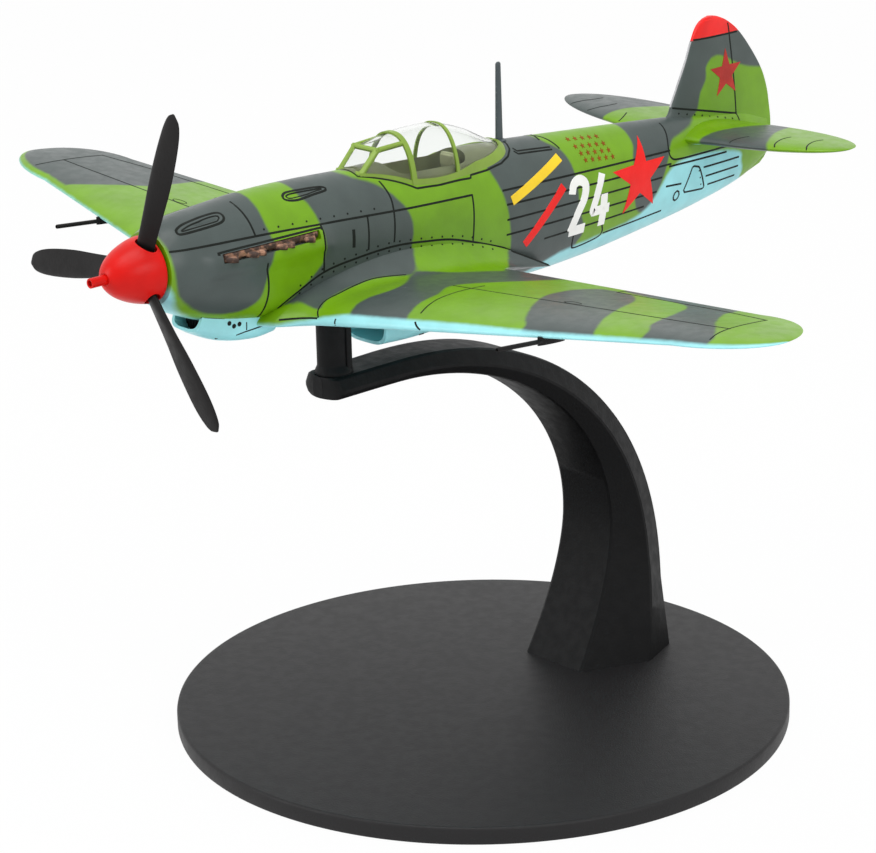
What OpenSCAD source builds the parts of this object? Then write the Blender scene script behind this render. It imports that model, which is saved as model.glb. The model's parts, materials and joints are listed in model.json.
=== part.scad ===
// Display model of a single-seat piston fighter on an arched stand, at 1:72 scale.
// X points to the aircraft's port side, the nose points along -Y, Z is up.
// The origin is the centre of the stand's round base, on the table.
// Inside place_aircraft() the axes are the same, but the origin is the spinner's
// tip on the thrust line, so Y there is the distance aft of the spinner's tip.

/* [Stand] */
// Diameter of the round base
base_d = 83; // [76:0.5:100]
// Thickness of the base
base_t = 2.4; // [2.2:0.1:5]
// Bevel round the base's upper edge
base_bevel = 0.3; // [0.1:0.05:0.6]
// Height of the arm above the base
arm_h = 51.6; // [46:0.2:60]
// Reach of the arm, from the back of its foot to the post's axis
arm_reach = 55; // [50:0.5:60]
// Distance of the post's axis in front of the base's centre
post_forward = 25; // [22:0.5:28]
// Half-width of the foot at its widest
foot_half = 9.6; // [8:0.1:11]
// Thickness of the arm under the post
arm_tip_t = 2.8; // [2.4:0.1:4]
// Length of the post between the arm and the belly
post_len = 7.8; // [5:0.1:12]
// Width of the post across the aircraft
post_w = 3.6; // [3:0.1:4.6]
// Length of the post along the aircraft
post_l = 4.6; // [4:0.1:6]
// Length of the peg that plugs into the belly
peg_len = 5; // [4.2:0.1:5.6]
// Clearance all round the peg
peg_gap = 0.1; // [0.05:0.01:0.2]

/* [Fuselage] */
// Length of the fuselage, from the cowling's front rim to the sternpost
body_len = 111.6; // [108:0.2:116]
// Width of the fuselage
body_w = 11.6; // [10.8:0.1:12.6]
// Height of the highest crown above the thrust line
crown_h = 6.4; // [6:0.1:7]
// Depth of the deepest belly below the thrust line
belly_h = 13.6; // [13.2:0.1:14.4]
// Radius of the cowling's front rim
cowl_r = 4.4; // [4.3:0.05:4.7]
// Place of the flat seat for the wing, below the thrust line
seat_drop = 8.8; // [8.4:0.1:9.2]

/* [Cockpit] */
// Place of the windscreen's foot, aft of the spinner's tip
screen_y = 38.4; // [37:0.2:39.6]
// Length of the windscreen, from its foot to the front arch
screen_len = 7.4; // [6.8:0.1:8.2]
// Length of the sliding hood
hood_len = 7.6; // [7:0.1:8.4]
// Length of the fixed rear glazing
rear_glass_len = 10.6; // [10:0.2:12]
// Height of the hood above the thrust line
hood_h = 9.3; // [9:0.1:10]
// Half-width of the glazing at the arches' feet
hood_half = 4.2; // [3.9:0.05:4.5]
// Thickness of the clear moulding
glass_t = 0.5; // [0.4:0.05:0.6]
// Height of the painted frames above the clear moulding
frame_t = 0.16; // [0.1:0.02:0.3]
// Depth of the cockpit floor below the thrust line
floor_drop = 3.4; // [2.8:0.1:3.8]

/* [Wing] */
// Wing span
span = 136.6; // [129:0.2:143]
// Chord of the wing beside the fuselage
root_chord = 31.8; // [30:0.2:34]
// Chord of the wing where its rounded tip starts
tip_chord = 15.4; // [14:0.2:17]
// Place of the wing's leading edge beside the fuselage
wing_y = 24; // [23:0.2:25]
// Sweep of the leading edge
sweep = 12; // [10:0.5:14]
// Dihedral of the wing
dihedral = 5.75; // [4.5:0.1:6.5]
// Length of the wing's rounded tip
tip_len = 11.2; // [9:0.2:12]
// Thickness of the wing beside the fuselage, as a part of its chord
root_thick = 0.155; // [0.14:0.005:0.17]
// Thickness of the wing at its tip, as a part of its chord
tip_thick = 0.11; // [0.09:0.005:0.13]

/* [Tail] */
// Span of the tailplane
tail_span = 51.4; // [47.4:0.4:55.4]
// Chord of the tailplane at its root
tail_chord = 14.6; // [13:0.2:16]
// Upward slope of the tailplane, in degrees
tail_dihedral = 2.5; // [0:0.5:5]
// Thickness of the tailplane, as a part of its chord
tail_thick = 0.12; // [0.1:0.01:0.14]
// Height of the fin's top above the thrust line
fin_h = 15; // [13.5:0.1:16.5]
// Thickness of the fin, as a part of its chord
fin_thick = 0.075; // [0.06:0.005:0.09]

/* [Propeller] */
// Radius of the spinner at its back
spinner_r = 4.05; // [3.8:0.05:4.3]
// Length of the spinner without its gun tube
spinner_len = 6; // [5.6:0.1:6.2]
// Diameter of the propeller
prop_d = 42.6; // [38:0.2:46]
// Widest chord of a blade
blade_chord = 3.4; // [3.2:0.1:4.4]
// Angle of the first blade from straight up, towards port
blade_phase = 22; // [0:1:119]
// Radius of the propeller's shaft
shaft_r = 0.75; // [0.6:0.05:0.9]
// Clearance between the shaft and its bush
shaft_gap = 0.05; // [0.02:0.01:0.1]

/* [Small fittings] */
// Height of the aerial mast above the spine
mast_h = 10.2; // [8:0.2:12]
// Distance of each pitot tube from the centreline
pitot_x = 40.5; // [36:0.5:44]
// Length of each pitot tube
pitot_len = 7.6; // [6:0.2:9]
// Length of each row of exhaust stubs
exhaust_len = 15; // [14:0.2:16]
// Length of the oil cooler under the nose
cooler_len = 12; // [11:0.2:13]
// Length of the radiator duct under the belly
radiator_len = 24; // [22:0.5:26]
// Radius of the screws' shanks
screw_r = 0.9; // [0.8:0.05:1.1]

/* [Hidden] */
$fn = 48;

skin_gap = 0.04;                 // glue line between a fitted piece and the skin
green = "#6fa32b";
sky = "#8fcfd0";
dark = "#262628";
red = "#d62b1c";

// ---------- curves

function between(a, b, t) = a + (b - a) * t;
function signed_pow(v, p) = sign(v) * pow(abs(v), p);
function row_at(table, x, i = 0) =
    i + 2 >= len(table) || table[i + 1][0] >= x ? i : row_at(table, x, i + 1);
function slope_at(table, i, col) =
    let (a = max(i - 1, 0), b = min(i + 1, len(table) - 1))
    (table[b][col] - table[a][col]) / (table[b][0] - table[a][0]);
// A smooth curve through one column of a table, whose first column is the place
function smooth_at(table, x, col) =
    let (i = row_at(table, x),
         step = table[i + 1][0] - table[i][0],
         t = min(max((x - table[i][0]) / step, 0), 1),
         y0 = table[i][col], y1 = table[i + 1][col],
         m0 = slope_at(table, i, col) * step, m1 = slope_at(table, i + 1, col) * step)
    (2 * pow(t, 3) - 3 * t * t + 1) * y0 + (pow(t, 3) - 2 * t * t + t) * m0
    + (3 * t * t - 2 * pow(t, 3)) * y1 + (pow(t, 3) - t * t) * m1;
// Half thickness of a symmetrical aerofoil, for a share x of its chord
function foil(x, thick) = 5 * thick
    * (0.2969 * sqrt(x) - 0.126 * x - 0.3516 * x * x + 0.2843 * pow(x, 3) - 0.1015 * pow(x, 4));

// A closed solid through rings of points, each with the same number of points
module loft(rings) {
    n = len(rings[0]);
    last = len(rings) - 1;
    sides = [for (r = [0:last - 1], k = [0:n - 1], half = [0, 1])
        let (k2 = (k + 1) % n)
        half == 0 ? [r * n + k, r * n + k2, (r + 1) * n + k]
                  : [r * n + k2, (r + 1) * n + k2, (r + 1) * n + k]];
    polyhedron(points = [for (ring = rings, p = ring) p], convexity = 6,
        faces = concat([[for (k = [n - 1:-1:0]) k]], [[for (k = [0:n - 1]) last * n + k]], sides));
}

// ---------- fuselage sections: share of the length, crown, belly, half-width, height of the widest
// point below the thrust line, roundness of the belly. Crown, belly and width are shares of their sizes.

plate_t = 0.25;                  // thickness of the plate that closes the spinner
cowl_y = spinner_len + plate_t + 0.3; // running gap behind the spinner
body_shape = [
    [0.00, cowl_r / crown_h, cowl_r / belly_h, 2 * cowl_r / body_w, 0.0, 2.1],
    [0.02, 0.83, 0.43, 0.86, 0.3, 2.2],
    [0.07, 0.92, 0.59, 0.95, 0.8, 2.3],
    [0.14, 1.00, 0.70, 0.99, 1.2, 2.5],
    [0.21, 0.99, 0.81, 1.00, 1.6, 2.6],
    [0.28, 0.94, 0.86, 1.00, 2.0, 2.6],
    [0.35, 0.92, 0.88, 1.00, 2.2, 2.4],
    [0.44, 0.85, 0.93, 0.98, 2.6, 2.3],
    [0.53, 0.76, 1.00, 0.94, 2.8, 2.2],
    [0.64, 0.61, 0.98, 0.84, 3.0, 2.1],
    [0.75, 0.46, 0.90, 0.69, 3.2, 2.1],
    [0.86, 0.28, 0.79, 0.50, 3.4, 2.1],
    [0.95, 0.08, 0.65, 0.26, 3.6, 2.1],
    [1.00, -0.22, 0.47, 0.10, 4.0, 2.0]];
function share_at(y) = (y - cowl_y) / body_len;
function crown(y) = crown_h * smooth_at(body_shape, share_at(y), 1);
function belly(y) = belly_h * smooth_at(body_shape, share_at(y), 2);
function half_width(y) = body_w / 2 * smooth_at(body_shape, share_at(y), 3);
function waist(y) = -smooth_at(body_shape, share_at(y), 4);
function belly_round(y) = smooth_at(body_shape, share_at(y), 5);
// Height of the upper skin at a distance x from the centreline
function skin_z(x, y) = waist(y)
    + (crown(y) - waist(y)) * sqrt(max(0, 1 - pow(x / half_width(y), 2)));

stern_y = cowl_y + body_len;
post_station = 35;               // place of the post aft of the spinner's tip
belly_at_post = belly(post_station);

body_points = 36;
function body_ring(y, grow = 0) =
    [for (k = [0:body_points - 1])
        let (a = 360 * k / body_points, c = cos(a), s = sin(a), p = 2 / (s > 0 ? 2 : belly_round(y)))
        [(half_width(y) + grow) * signed_pow(c, p), y,
         waist(y) + (s > 0 ? (crown(y) - waist(y) + grow) : (belly(y) + waist(y) + grow))
         * signed_pow(s, p)]];
body_stations = [for (t = [0, 0.012, 0.03, 0.05, 0.08, 0.11, 0.14, each [0.18:0.04:0.9], 0.93, 0.96, 0.98, 1])
    cowl_y + t * body_len];
module body(grow = 0) {
    loft([for (y = body_stations) body_ring(y, grow)]);
}

// ---------- where things stand, worked out from the base upwards

arm_top = base_t + arm_h;
post_y = -post_forward;
thrust_z = arm_top + post_len + belly_at_post;
nose_y = post_y - post_station;
head_r = 2 * screw_r;
head_t = 1.2;
screw_grip = 5;                  // length of a base screw's thread inside the arm
screw_play = 0.06;               // the shank is this much thinner than its hole

// ---------- flying surfaces

wing_root_x = body_w / 2 + 4.2;
tip_start = span / 2 - tip_len;
chord_z = -seat_drop - 0.8;      // chord plane on the centreline
function tip_round(x, start, len) =
    x <= start ? 1 : sqrt(max(0, 1 - pow((x - start) / len, 2)));
function wing_lead(x) = wing_y + (min(x, tip_start) - wing_root_x) * tan(sweep);
function wing_chord(x) =
    between(root_chord, tip_chord, (min(x, tip_start) - wing_root_x) / (tip_start - wing_root_x));
function wing_thick(x) =
    between(root_thick, tip_thick, max(0, (x - wing_root_x) / (span / 2 - wing_root_x)));
// How far a point is up the fillet that joins wing and fuselage: 0 outboard, 1 at the skin
function fillet(x) = pow(min(1, max(0, (wing_root_x - x) / (wing_root_x - skin_side))), 2);
skin_side = body_w / 2 - 0.3;
fillet_rise = 3.4;               // how far the fillet lifts the top of the section
fillet_front = 2.4;              // how far it reaches ahead of the wing
fillet_back = 12;                // and behind it
fillet_droop = 2.6;              // how far its trailing end turns down along the belly
foil_steps = [1, 0.86, 0.7, 0.54, 0.4, 0.27, 0.16, 0.08, 0.03, 0];
// One section of a wing or tailplane: over the top from the trailing edge, back underneath.
// The top can be raised, and the trailing edge drooped, for a fillet
function foil_ring(x, lead, chord, z, thick, rise = 0, droop = 0) =
    concat([for (s = foil_steps) [x, lead + s * chord,
                z + chord * foil(s, thick) + rise * (s < 1 ? sin(180 * s) : 0) - droop * pow(s, 4)]],
           [for (i = [len(foil_steps) - 2:-1:1]) let (s = foil_steps[i])
                [x, lead + s * chord, z - chord * foil(s, thick) - droop * pow(s, 4)]]);
function wing_ring(x) =
    let (ax = abs(x), f = fillet(ax),
         round_tip = max(0.03, tip_round(ax, tip_start, tip_len)),
         full = wing_chord(ax), chord = full * round_tip + f * (fillet_front + fillet_back),
         lead = wing_lead(ax) + full * 0.42 * (1 - round_tip) - f * fillet_front)
    foil_ring(x, lead, chord, chord_z + ax * tan(dihedral), wing_thick(ax) * (1 - 0.4 * f),
        fillet_rise * f, fillet_droop * f);
wing_root_stations = [for (t = [0, 0.15, 0.3, 0.5, 0.75, 1]) between(skin_side, wing_root_x, t)];
wing_outer_stations = [for (t = [0.2:0.2:1]) between(wing_root_x, tip_start, t)];
wing_tip_stations = [for (t = [0.3, 0.52, 0.7, 0.84, 0.93, 0.98, 1]) tip_start + t * tip_len];
wing_stations = concat(wing_root_stations, wing_outer_stations, wing_tip_stations);

tail_z = -0.65;                  // height of the tailplane's chord plane on the centreline
tail_to_stern = 20.9;            // from its leading edge on the centreline to the sternpost
tail_lead = stern_y - tail_to_stern;
tail_sweep = 0.14;               // how much its leading edge falls back for each step outwards
tail_tip_start = tail_span / 2 * 0.27;
function tail_ring(side, x) =
    let (round_tip = max(0.04, tip_round(x, tail_tip_start, tail_span / 2 - tail_tip_start)),
         full = tail_chord - tail_sweep * min(x, tail_tip_start),
         lead = tail_lead + tail_sweep * min(x, tail_tip_start) + full * 0.5 * (1 - round_tip))
    foil_ring(side * x, lead, full * round_tip, tail_z + x * tan(tail_dihedral), tail_thick);

// Fin and rudder: share of the height, distance of the leading and trailing edge from the sternpost
fin_shape = [
    [-0.57, -7.0, -4.4],
    [-0.52, -7.0, -1.6],
    [-0.42, -7.0, 0.2],
    [-0.28, -7.0, 0.9],
    [-0.12, -12, 1.0],
    [0.05, -21.2, 0.6],
    [0.20, -20.6, 0.1],
    [0.39, -19.2, -1.1],
    [0.62, -17.4, -3.6],
    [0.82, -16.1, -6.4],
    [0.93, -15.1, -8.8],
    [0.985, -13.8, -10.8],
    [1.00, -12.6, -11.8]];
function fin_ring(row) =
    let (z = row[0] * fin_h, lead = stern_y + row[1], chord = row[2] - row[1])
    concat([for (s = foil_steps) [chord * foil(s, max(fin_thick, 0.9 / chord)), lead + s * chord, z]],
           [for (i = [len(foil_steps) - 2:-1:1]) let (s = foil_steps[i])
                [-chord * foil(s, max(fin_thick, 0.9 / chord)), lead + s * chord, z]]);

// ---------- canopy sections: an arch across the aircraft at each station

arch_y = screen_y + screen_len;
hood_end_y = arch_y + hood_len;
glass_end_y = hood_end_y + rear_glass_len;
pane_half = 2;                   // front pane, at its foot
pane_top_half = 2.1;             // front pane, at its top
pane_len = 3;                    // front pane, along the aircraft
pane_rise = 2.6;                 // front pane, upwards
sill_sink = 2.2;                 // how far the moulding is drawn below the sill before it is trimmed
pane_foot_z = skin_z(pane_half, screen_y) + 0.1;
// Half-width of the glazing at the sill and height of its top, aft of the front arch
hood_shape = [
    [0, hood_half, hood_h],
    [hood_len * 0.5, hood_half + 0.15, hood_h + 0.15],
    [hood_len, hood_half, hood_h - 0.05],
    [hood_len + rear_glass_len * 0.4, hood_half - 0.25, hood_h - 1.4],
    [hood_len + rear_glass_len * 0.75, hood_half - 0.6, hood_h - 3.2],
    [hood_len + rear_glass_len * 0.93, hood_half - 1.1, crown(glass_end_y) + 0.4],
    [hood_len + rear_glass_len, 2.3, crown(glass_end_y) + 0.12]];
arch_points = 18;
function arch_outline(y, grow) =
    let (half = smooth_at(hood_shape, y - arch_y, 1) + grow,
         top = smooth_at(hood_shape, y - arch_y, 2) + grow,
         foot = skin_z(half, y) - sill_sink)
    concat([for (k = [0:arch_points])
               let (a = 180 * k / arch_points)
               [half * signed_pow(cos(a), 0.85), y, foot + (top - foot) * pow(sin(a), 0.85)]]);
hood_stations = [for (t = [0, 0.5, 1]) arch_y + t * hood_len];
rear_stations = [for (t = [0, 0.2, 0.4, 0.6, 0.78, 0.92, 1]) hood_end_y + t * rear_glass_len];

// ================= stand

module screw_pattern() {
    for (side = [-1, 1]) translate([side * 3.6, foot_back - 6.4, 0]) children();
}
foot_back = post_y + arm_reach;  // back of the arm's foot

module stand_base() color(dark) {
    difference() {
        rotate_extrude($fn = 160)
            polygon([[0, 0], [base_d / 2, 0], [base_d / 2, base_t - base_bevel],
                     [base_d / 2 - base_bevel, base_t], [0, base_t]]);
        screw_pattern() {
            translate([0, 0, -1]) cylinder(r = screw_r + 0.2, h = base_t + 2);
            translate([0, 0, -1]) cylinder(r = head_r + 0.2, h = head_t + 1);
        }
    }
}

// The arm is six-sided. Along its path, from foot to tip: half-width of the inner face,
// of the widest edge and of the outer face, and the widest edge's place between the two faces
arm_shape = [
    [0.0, 0.54, 1.00, 0.76, 0.58],
    [0.3, 0.47, 0.72, 0.55, 0.50],
    [0.6, 0.41, 0.54, 0.40, 0.42],
    [0.85, 0.32, 0.40, 0.29, 0.38],
    [1.0, 0.30, 0.37, 0.28, 0.38]];
bend_y = post_y + 8;             // where the arch runs level
arch_half = foot_back - bend_y;
outer_bend_z = base_t + 0.19 * arm_h;
inner_bend_z = base_t + 0.38 * arm_h;
inner_back = foot_back - 9.2;
inner_foot = foot_back - 16.2;
// Outer and inner edge of the arm's side view, for t from 0 at the foot to 1 at the tip
leg_share = 0.25;                // stretch of t that the leg takes
level_share = 0.85;              // where the level stretch starts
function arm_edges(t) =
    t < leg_share
    ? let (s = 1 - t / leg_share)
      [[foot_back, between(outer_bend_z, base_t, s)],
       [inner_back - (inner_back - inner_foot) * pow(s, 1.7), between(inner_bend_z, base_t, s)]]
    : t < level_share
    ? let (a = 90 * (t - leg_share) / (level_share - leg_share))
      [[bend_y + arch_half * pow(cos(a), 0.91), between(outer_bend_z, arm_top, pow(sin(a), 0.91))],
       [bend_y + (inner_back - bend_y) * cos(a), between(inner_bend_z, arm_top - arm_tip_t, sin(a))]]
    : let (y = between(bend_y, post_y - 1.5, (t - level_share) / (1 - level_share)))
      [[y, arm_top], [y, arm_top - arm_tip_t]];
function arm_ring(t, narrow = 1, ahead = 0) =
    let (e = arm_edges(t), w = [for (c = [1:4]) smooth_at(arm_shape, t, c)],
         mid = [between(e[1][0], e[0][0], w[3]), between(e[1][1], e[0][1], w[3])],
         half = foot_half * narrow)
    [for (q = [[-w[1], mid], [-w[2], e[0]], [w[2], e[0]], [w[1], mid], [w[0], e[1]], [-w[0], e[1]]])
        [half * q[0], q[1][0] - ahead, q[1][1]]];
tip_round_len = 1.3;             // how far the rounded tip stands in front of the last section
arm_steps = [0, 0.06, 0.12, 0.18, each [0.25:0.05:0.86], 0.92, 1];

module stand_arm() color(dark) {
    difference() {
        loft(concat([for (t = arm_steps) arm_ring(t)],
                    [for (a = [30, 55, 75]) arm_ring(1, cos(a), tip_round_len * sin(a))]));
        screw_pattern() translate([0, 0, base_t - 1]) cylinder(r = screw_r, h = screw_grip + 1.4, $fn = 24);
        // socket for the post's spigot
        translate([0, post_y, arm_top - 1.5]) cylinder(r = spigot_r + skin_gap, h = 3, $fn = 32);
    }
}
spigot_r = 1.3;

module post_outline(grow = 0) {
    scale([post_w / post_l, 1]) circle(d = post_l + 2 * grow);
    // the key that stops the aircraft turning on its post
    translate([0, post_l * 0.12 - grow]) square([post_w / 2 + 0.15 + grow, 0.9 + 2 * grow]);
}
module stand_post() color(dark) {
    translate([0, post_y, arm_top]) {
        translate([0, 0, -1.4]) cylinder(r = spigot_r, h = 1.6);
        linear_extrude(post_len + peg_len) post_outline();
        // flared foot of the post
        rotate_extrude() polygon([[0, 0.02], [2.5, 0.02], [2.5, 0.3], [2.2, 0.8], [0, 0.8]]);
    }
}

module base_screws() color("silver") {
    screw_pattern() translate([0, 0, head_t - 1]) {
        cylinder(r = head_r, h = 1);
        cylinder(r = screw_r - screw_play, h = base_t - head_t + 1 + screw_grip);
    }
}

// ================= aircraft

module place_aircraft() {
    translate([0, nose_y, thrust_z]) children();
}
module port_half() {
    intersection() {
        children();
        translate([0, -10, -40]) cube([90, 160, 80]);
    }
}
module starboard_half() {
    intersection() {
        children();
        translate([-90, -10, -40]) cube([90, 160, 80]);
    }
}

seat_front = wing_y - fillet_front - 0.4;
seat_back = wing_y + root_chord + fillet_back + 0.6;
seat_slope = 5.4;                // length of the slope
// The space that the wing's middle takes from the fuselage, its roof sloping down at the back
module seat_block() {
    rotate([90, 0, 90]) linear_extrude(2 * body_w, center = true)
        polygon([[seat_front, -seat_drop], [seat_back - seat_slope, -seat_drop],
                 [seat_back, -seat_drop - fillet_droop], [seat_back, -2 * belly_h],
                 [seat_front, -2 * belly_h]]);
}
module post_socket() {
    translate([0, post_station, -belly_at_post - 2]) linear_extrude(peg_len + 2.15) post_outline(peg_gap);
}
screw_y1 = seat_front + 5.5;
screw_y2 = seat_back - 9;
boss_r = screw_r + 0.05;
head_sink = 0.5;                 // depth of a wing screw's head below the belly

// Opening in the fuselage's top for the tub, in plan
tub_front = screen_y + 5;
tub_back = hood_end_y + 3.2;
tub_half = hood_half - 1.1;
tub_t = 0.5;
module tub_plan(shrink = 0) {
    hull() for (y = [tub_front + 2, tub_back - 2], x = [-1, 1])
        translate([x * (tub_half - 2), y]) circle(r = 2 - shrink, $fn = 20);
}
exhaust_y = cowl_y + 6.8;
exhaust_z = 0.55;
slot_h = 1.5;
slot_depth = 0.9;
bush_r = shaft_r + 0.85;
bush_len = 8;

module fuselage_body() {
    difference() {
        union() {
            body();
            loft([for (row = fin_shape) fin_ring(row)]);
        }
        seat_block();
        post_socket();
        // cockpit opening
        translate([0, 0, -floor_drop]) linear_extrude(20) tub_plan();
        // bore for the bush and room behind it for the shaft's collar
        along_y(cowl_y - 1) cylinder(r = bush_r + skin_gap, h = bush_len + 1, $fn = 40);
        along_y(cowl_y + bush_len - 0.5) cylinder(r = collar_r + 0.4, h = collar_t + 2, $fn = 40);
        // exhaust slots
        for (side = [-1, 1]) translate([side * (body_w / 2 - slot_depth + 1.5), exhaust_y, exhaust_z])
            translate([-1.5, 0, -slot_h / 2]) cube([3, exhaust_len, slot_h]);
        // tailplane tenons
        tail_tenon(0.03);
        // screws that hold the wing
        for (y = [screw_y1, screw_y2])
            translate([0, y, -seat_drop - 1]) cylinder(r = boss_r, h = 4.2, $fn = 24);
        // aerial mast's hole
        translate([0, mast_y, crown(mast_y) - 1.6]) cylinder(d = mast_l * 0.8 + 0.06, h = 4, $fn = 24);
    }
}
module fuselage_left() color(green) place_aircraft() port_half() fuselage_body();
module fuselage_right() color(green) place_aircraft() starboard_half() fuselage_body();

// From the port tip to the starboard tip
module wing_loft() {
    loft(concat([for (i = [len(wing_stations) - 1:-1:0]) wing_ring(wing_stations[i])],
                [for (x = wing_stations) wing_ring(-x)]));
}
// The wing with a glue line under it and ahead of it, to trim what is fitted there
module wing_underside() {
    for (gap = [[0, -skin_gap, 0], [0, 0, -skin_gap]]) translate(gap) wing_loft();
}
module wing() color(green) place_aircraft() {
    difference() {
        union() {
            wing_loft();
            intersection() {
                body();
                seat_block();
            }
        }
        // the fuselage above the seat, and beside it fore and aft
        difference() {
            body();
            seat_block();
        }
        post_socket();
        for (y = [screw_y1, screw_y2]) {
            translate([0, y, -seat_drop - 9]) cylinder(r = boss_r + 0.15, h = 12, $fn = 24);
            translate([0, y, -belly(y) - 2]) cylinder(r = head_r + 0.15, h = 2 + head_sink + 0.9, $fn = 24);
        }
    }
}
module wing_screws() color("silver") place_aircraft() {
    for (y = [screw_y1, screw_y2]) translate([0, y, -belly(y) + head_sink]) {
        cylinder(r = head_r, h = 0.85);
        cylinder(r = screw_r - screw_play, h = belly(y) - seat_drop + 2);
    }
}

tail_tenon_x = half_width(tail_lead + tail_chord * 0.3) + 0.9;
module tail_tenon(gap = 0) {
    translate([-tail_tenon_x - gap, tail_lead + tail_chord * 0.3 - gap, tail_z - 0.3 - gap])
        cube([2 * (tail_tenon_x + gap), tail_chord * 0.4 + 2 * gap, 0.6 + 2 * gap]);
}
tail_root_x = 0.2;
tail_stations = [for (t = [0, 0.25, 0.42, 0.57, 0.7, 0.8, 0.88, 0.94, 0.975, 0.993, 1])
    tail_root_x + t * (tail_span / 2 - tail_root_x)];
module tailplane(side) {
    difference() {
        loft([for (i = [0:len(tail_stations) - 1])
            tail_ring(side, tail_stations[side < 0 ? i : len(tail_stations) - 1 - i])]);
        union() {
            body(skin_gap);
            loft([for (row = fin_shape) fin_ring(row)]);
        }
    }
}
module tailplane_left() color(green) place_aircraft() {
    tailplane(1);
    port_half() tail_tenon();
}
module tailplane_right() color(green) place_aircraft() {
    tailplane(-1);
    starboard_half() tail_tenon();
}

// ----- cockpit

rim_z = 1.2;                     // height of the tub's rim above the thrust line
module cockpit_tub() color("#4a5238") place_aircraft() {
    translate([0, 0, -floor_drop]) difference() {
        linear_extrude(floor_drop + rim_z) tub_plan(skin_gap);
        translate([0, 0, tub_t]) linear_extrude(20) tub_plan(tub_t);
    }
}
seat_y = arch_y + hood_len * 0.45;
module pilot_seat() color("#3a3f2e") place_aircraft() {
    translate([0, seat_y, -floor_drop + tub_t]) {
        // pan and back, moulded as one bucket
        difference() {
            translate([-1.9, 0, 0]) cube([3.8, 3.4, 1.5]);
            translate([-1.6, -1, 0.6]) cube([3.2, 4.1, 2]);
        }
        translate([-1.9, 3, 1.4]) rotate([8, 0, 0]) cube([3.8, 0.4, 3.4]);
    }
}
module instrument_panel() color("#2c2e2b") place_aircraft() {
    intersection() {
        translate([-4, tub_front + tub_t + 0.15, -0.6]) cube([8, 0.6, 3.4]);
        linear_extrude(20, center = true) tub_plan(tub_t + skin_gap);
    }
}
module control_stick() color("#2c2e2b") place_aircraft() {
    translate([0, seat_y - 1.7, -floor_drop + tub_t]) {
        cylinder(r1 = 0.5, r2 = 0.35, h = 0.5, $fn = 20);
        cylinder(r = 0.22, h = 3.1, $fn = 20);
        translate([0, 0, 3]) sphere(r = 0.4, $fn = 20);
    }
}
module headrest() color("#3a3f2e") place_aircraft() {
    translate([0, tub_back - tub_t - 0.75, 0]) intersection() {
        translate([-1.4, 0, -floor_drop + tub_t]) cube([2.8, 0.6, floor_drop + 5.4]);
        union() {
            translate([0, -1, 3.6]) rotate([-90, 0, 0]) cylinder(r = 1.4, h = 3, $fn = 32);
            translate([-1.4, -1, -8]) cube([2.8, 3, 11.6]);
        }
    }
}

// ----- canopy

module hood_between(stations, grow) {
    for (i = [0:len(stations) - 2]) hull() for (y = [stations[i], stations[i + 1]])
        arch_slice(y, grow);
}
// A very thin slice of the glazing, filled down to below the sill
module arch_slice(y, grow) {
    outline = arch_outline(y, grow);
    loft([[for (p = outline) [p[0], p[1] - 0.01, p[2]]], [for (p = outline) [p[0], p[1] + 0.01, p[2]]]]);
}
function pane_corners(grow) = [for (side = [-1, 1])
    each [[side * (pane_half + grow), screen_y - grow, pane_foot_z - 2],
          [side * (pane_half + grow), screen_y - grow, pane_foot_z],
          [side * (pane_top_half + grow), screen_y + pane_len - grow * 0.6,
           pane_foot_z + pane_rise + grow * 0.6]]];
module glazing(grow = 0) {
    // windscreen: a flat front pane, flat quarter panes and the front arch
    hull() {
        arch_slice(arch_y, grow);
        for (p = pane_corners(grow)) translate(p) cube(0.01, center = true);
    }
    hood_between(hood_stations, grow);
    hood_between(rear_stations, grow);
}
module canopy_glass() color([0.8, 0.88, 0.9, 0.4]) place_aircraft() {
    difference() {
        glazing();
        glazing(-glass_t);
        body(skin_gap);
    }
}
sill_h = 1.0;
bar_w = 0.9;
// The bars, as slabs that the shell between glass and paint is cut with
module frame_bars() {
    for (y = [arch_y, hood_end_y]) translate([-10, y - bar_w / 2, 0]) cube([20, bar_w, 20]);
    body(sill_h);
    // pillars and cross bar round the front pane
    for (side = [-1, 1]) hull() {
        translate([side * pane_half, screen_y, pane_foot_z - 0.6]) cube(bar_w, center = true);
        translate([side * pane_top_half, screen_y + pane_len, pane_foot_z + pane_rise])
            cube(bar_w, center = true);
    }
    hull() for (side = [-1, 1])
        translate([side * pane_top_half, screen_y + pane_len, pane_foot_z + pane_rise])
            cube([bar_w, bar_w, bar_w * 1.6], center = true);
    // rails from the front pane's top to the arch
    for (side = [-1, 1]) hull() {
        translate([side * pane_top_half, screen_y + pane_len, pane_foot_z + pane_rise])
            cube(bar_w * 0.8, center = true);
        translate([side * (pane_top_half + 0.2), arch_y, hood_h - 0.9]) cube(bar_w * 0.8, center = true);
    }
}
module canopy_frame() color("#8aa848") place_aircraft() {
    intersection() {
        difference() {
            glazing(frame_t);
            glazing(0.005);
            body(skin_gap);
        }
        frame_bars();
    }
}

// ----- fittings

mast_y = glass_end_y + 0.8;
mast_l = 1.2;
module antenna_mast() color("#454c50") place_aircraft() {
    base_z = crown(mast_y) + 0.05;
    translate([0, mast_y, base_z - 1.5]) cylinder(d = mast_l * 0.8, h = 1.6, $fn = 24);
    loft([for (t = [0, 0.5, 1]) let (chord = mast_l * (1 - 0.3 * t))
        [for (k = [0:11]) [0.3 * chord * sin(30 * k), mast_y + 0.5 * chord * cos(30 * k),
                           base_z + t * mast_h]]]);
}

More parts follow.
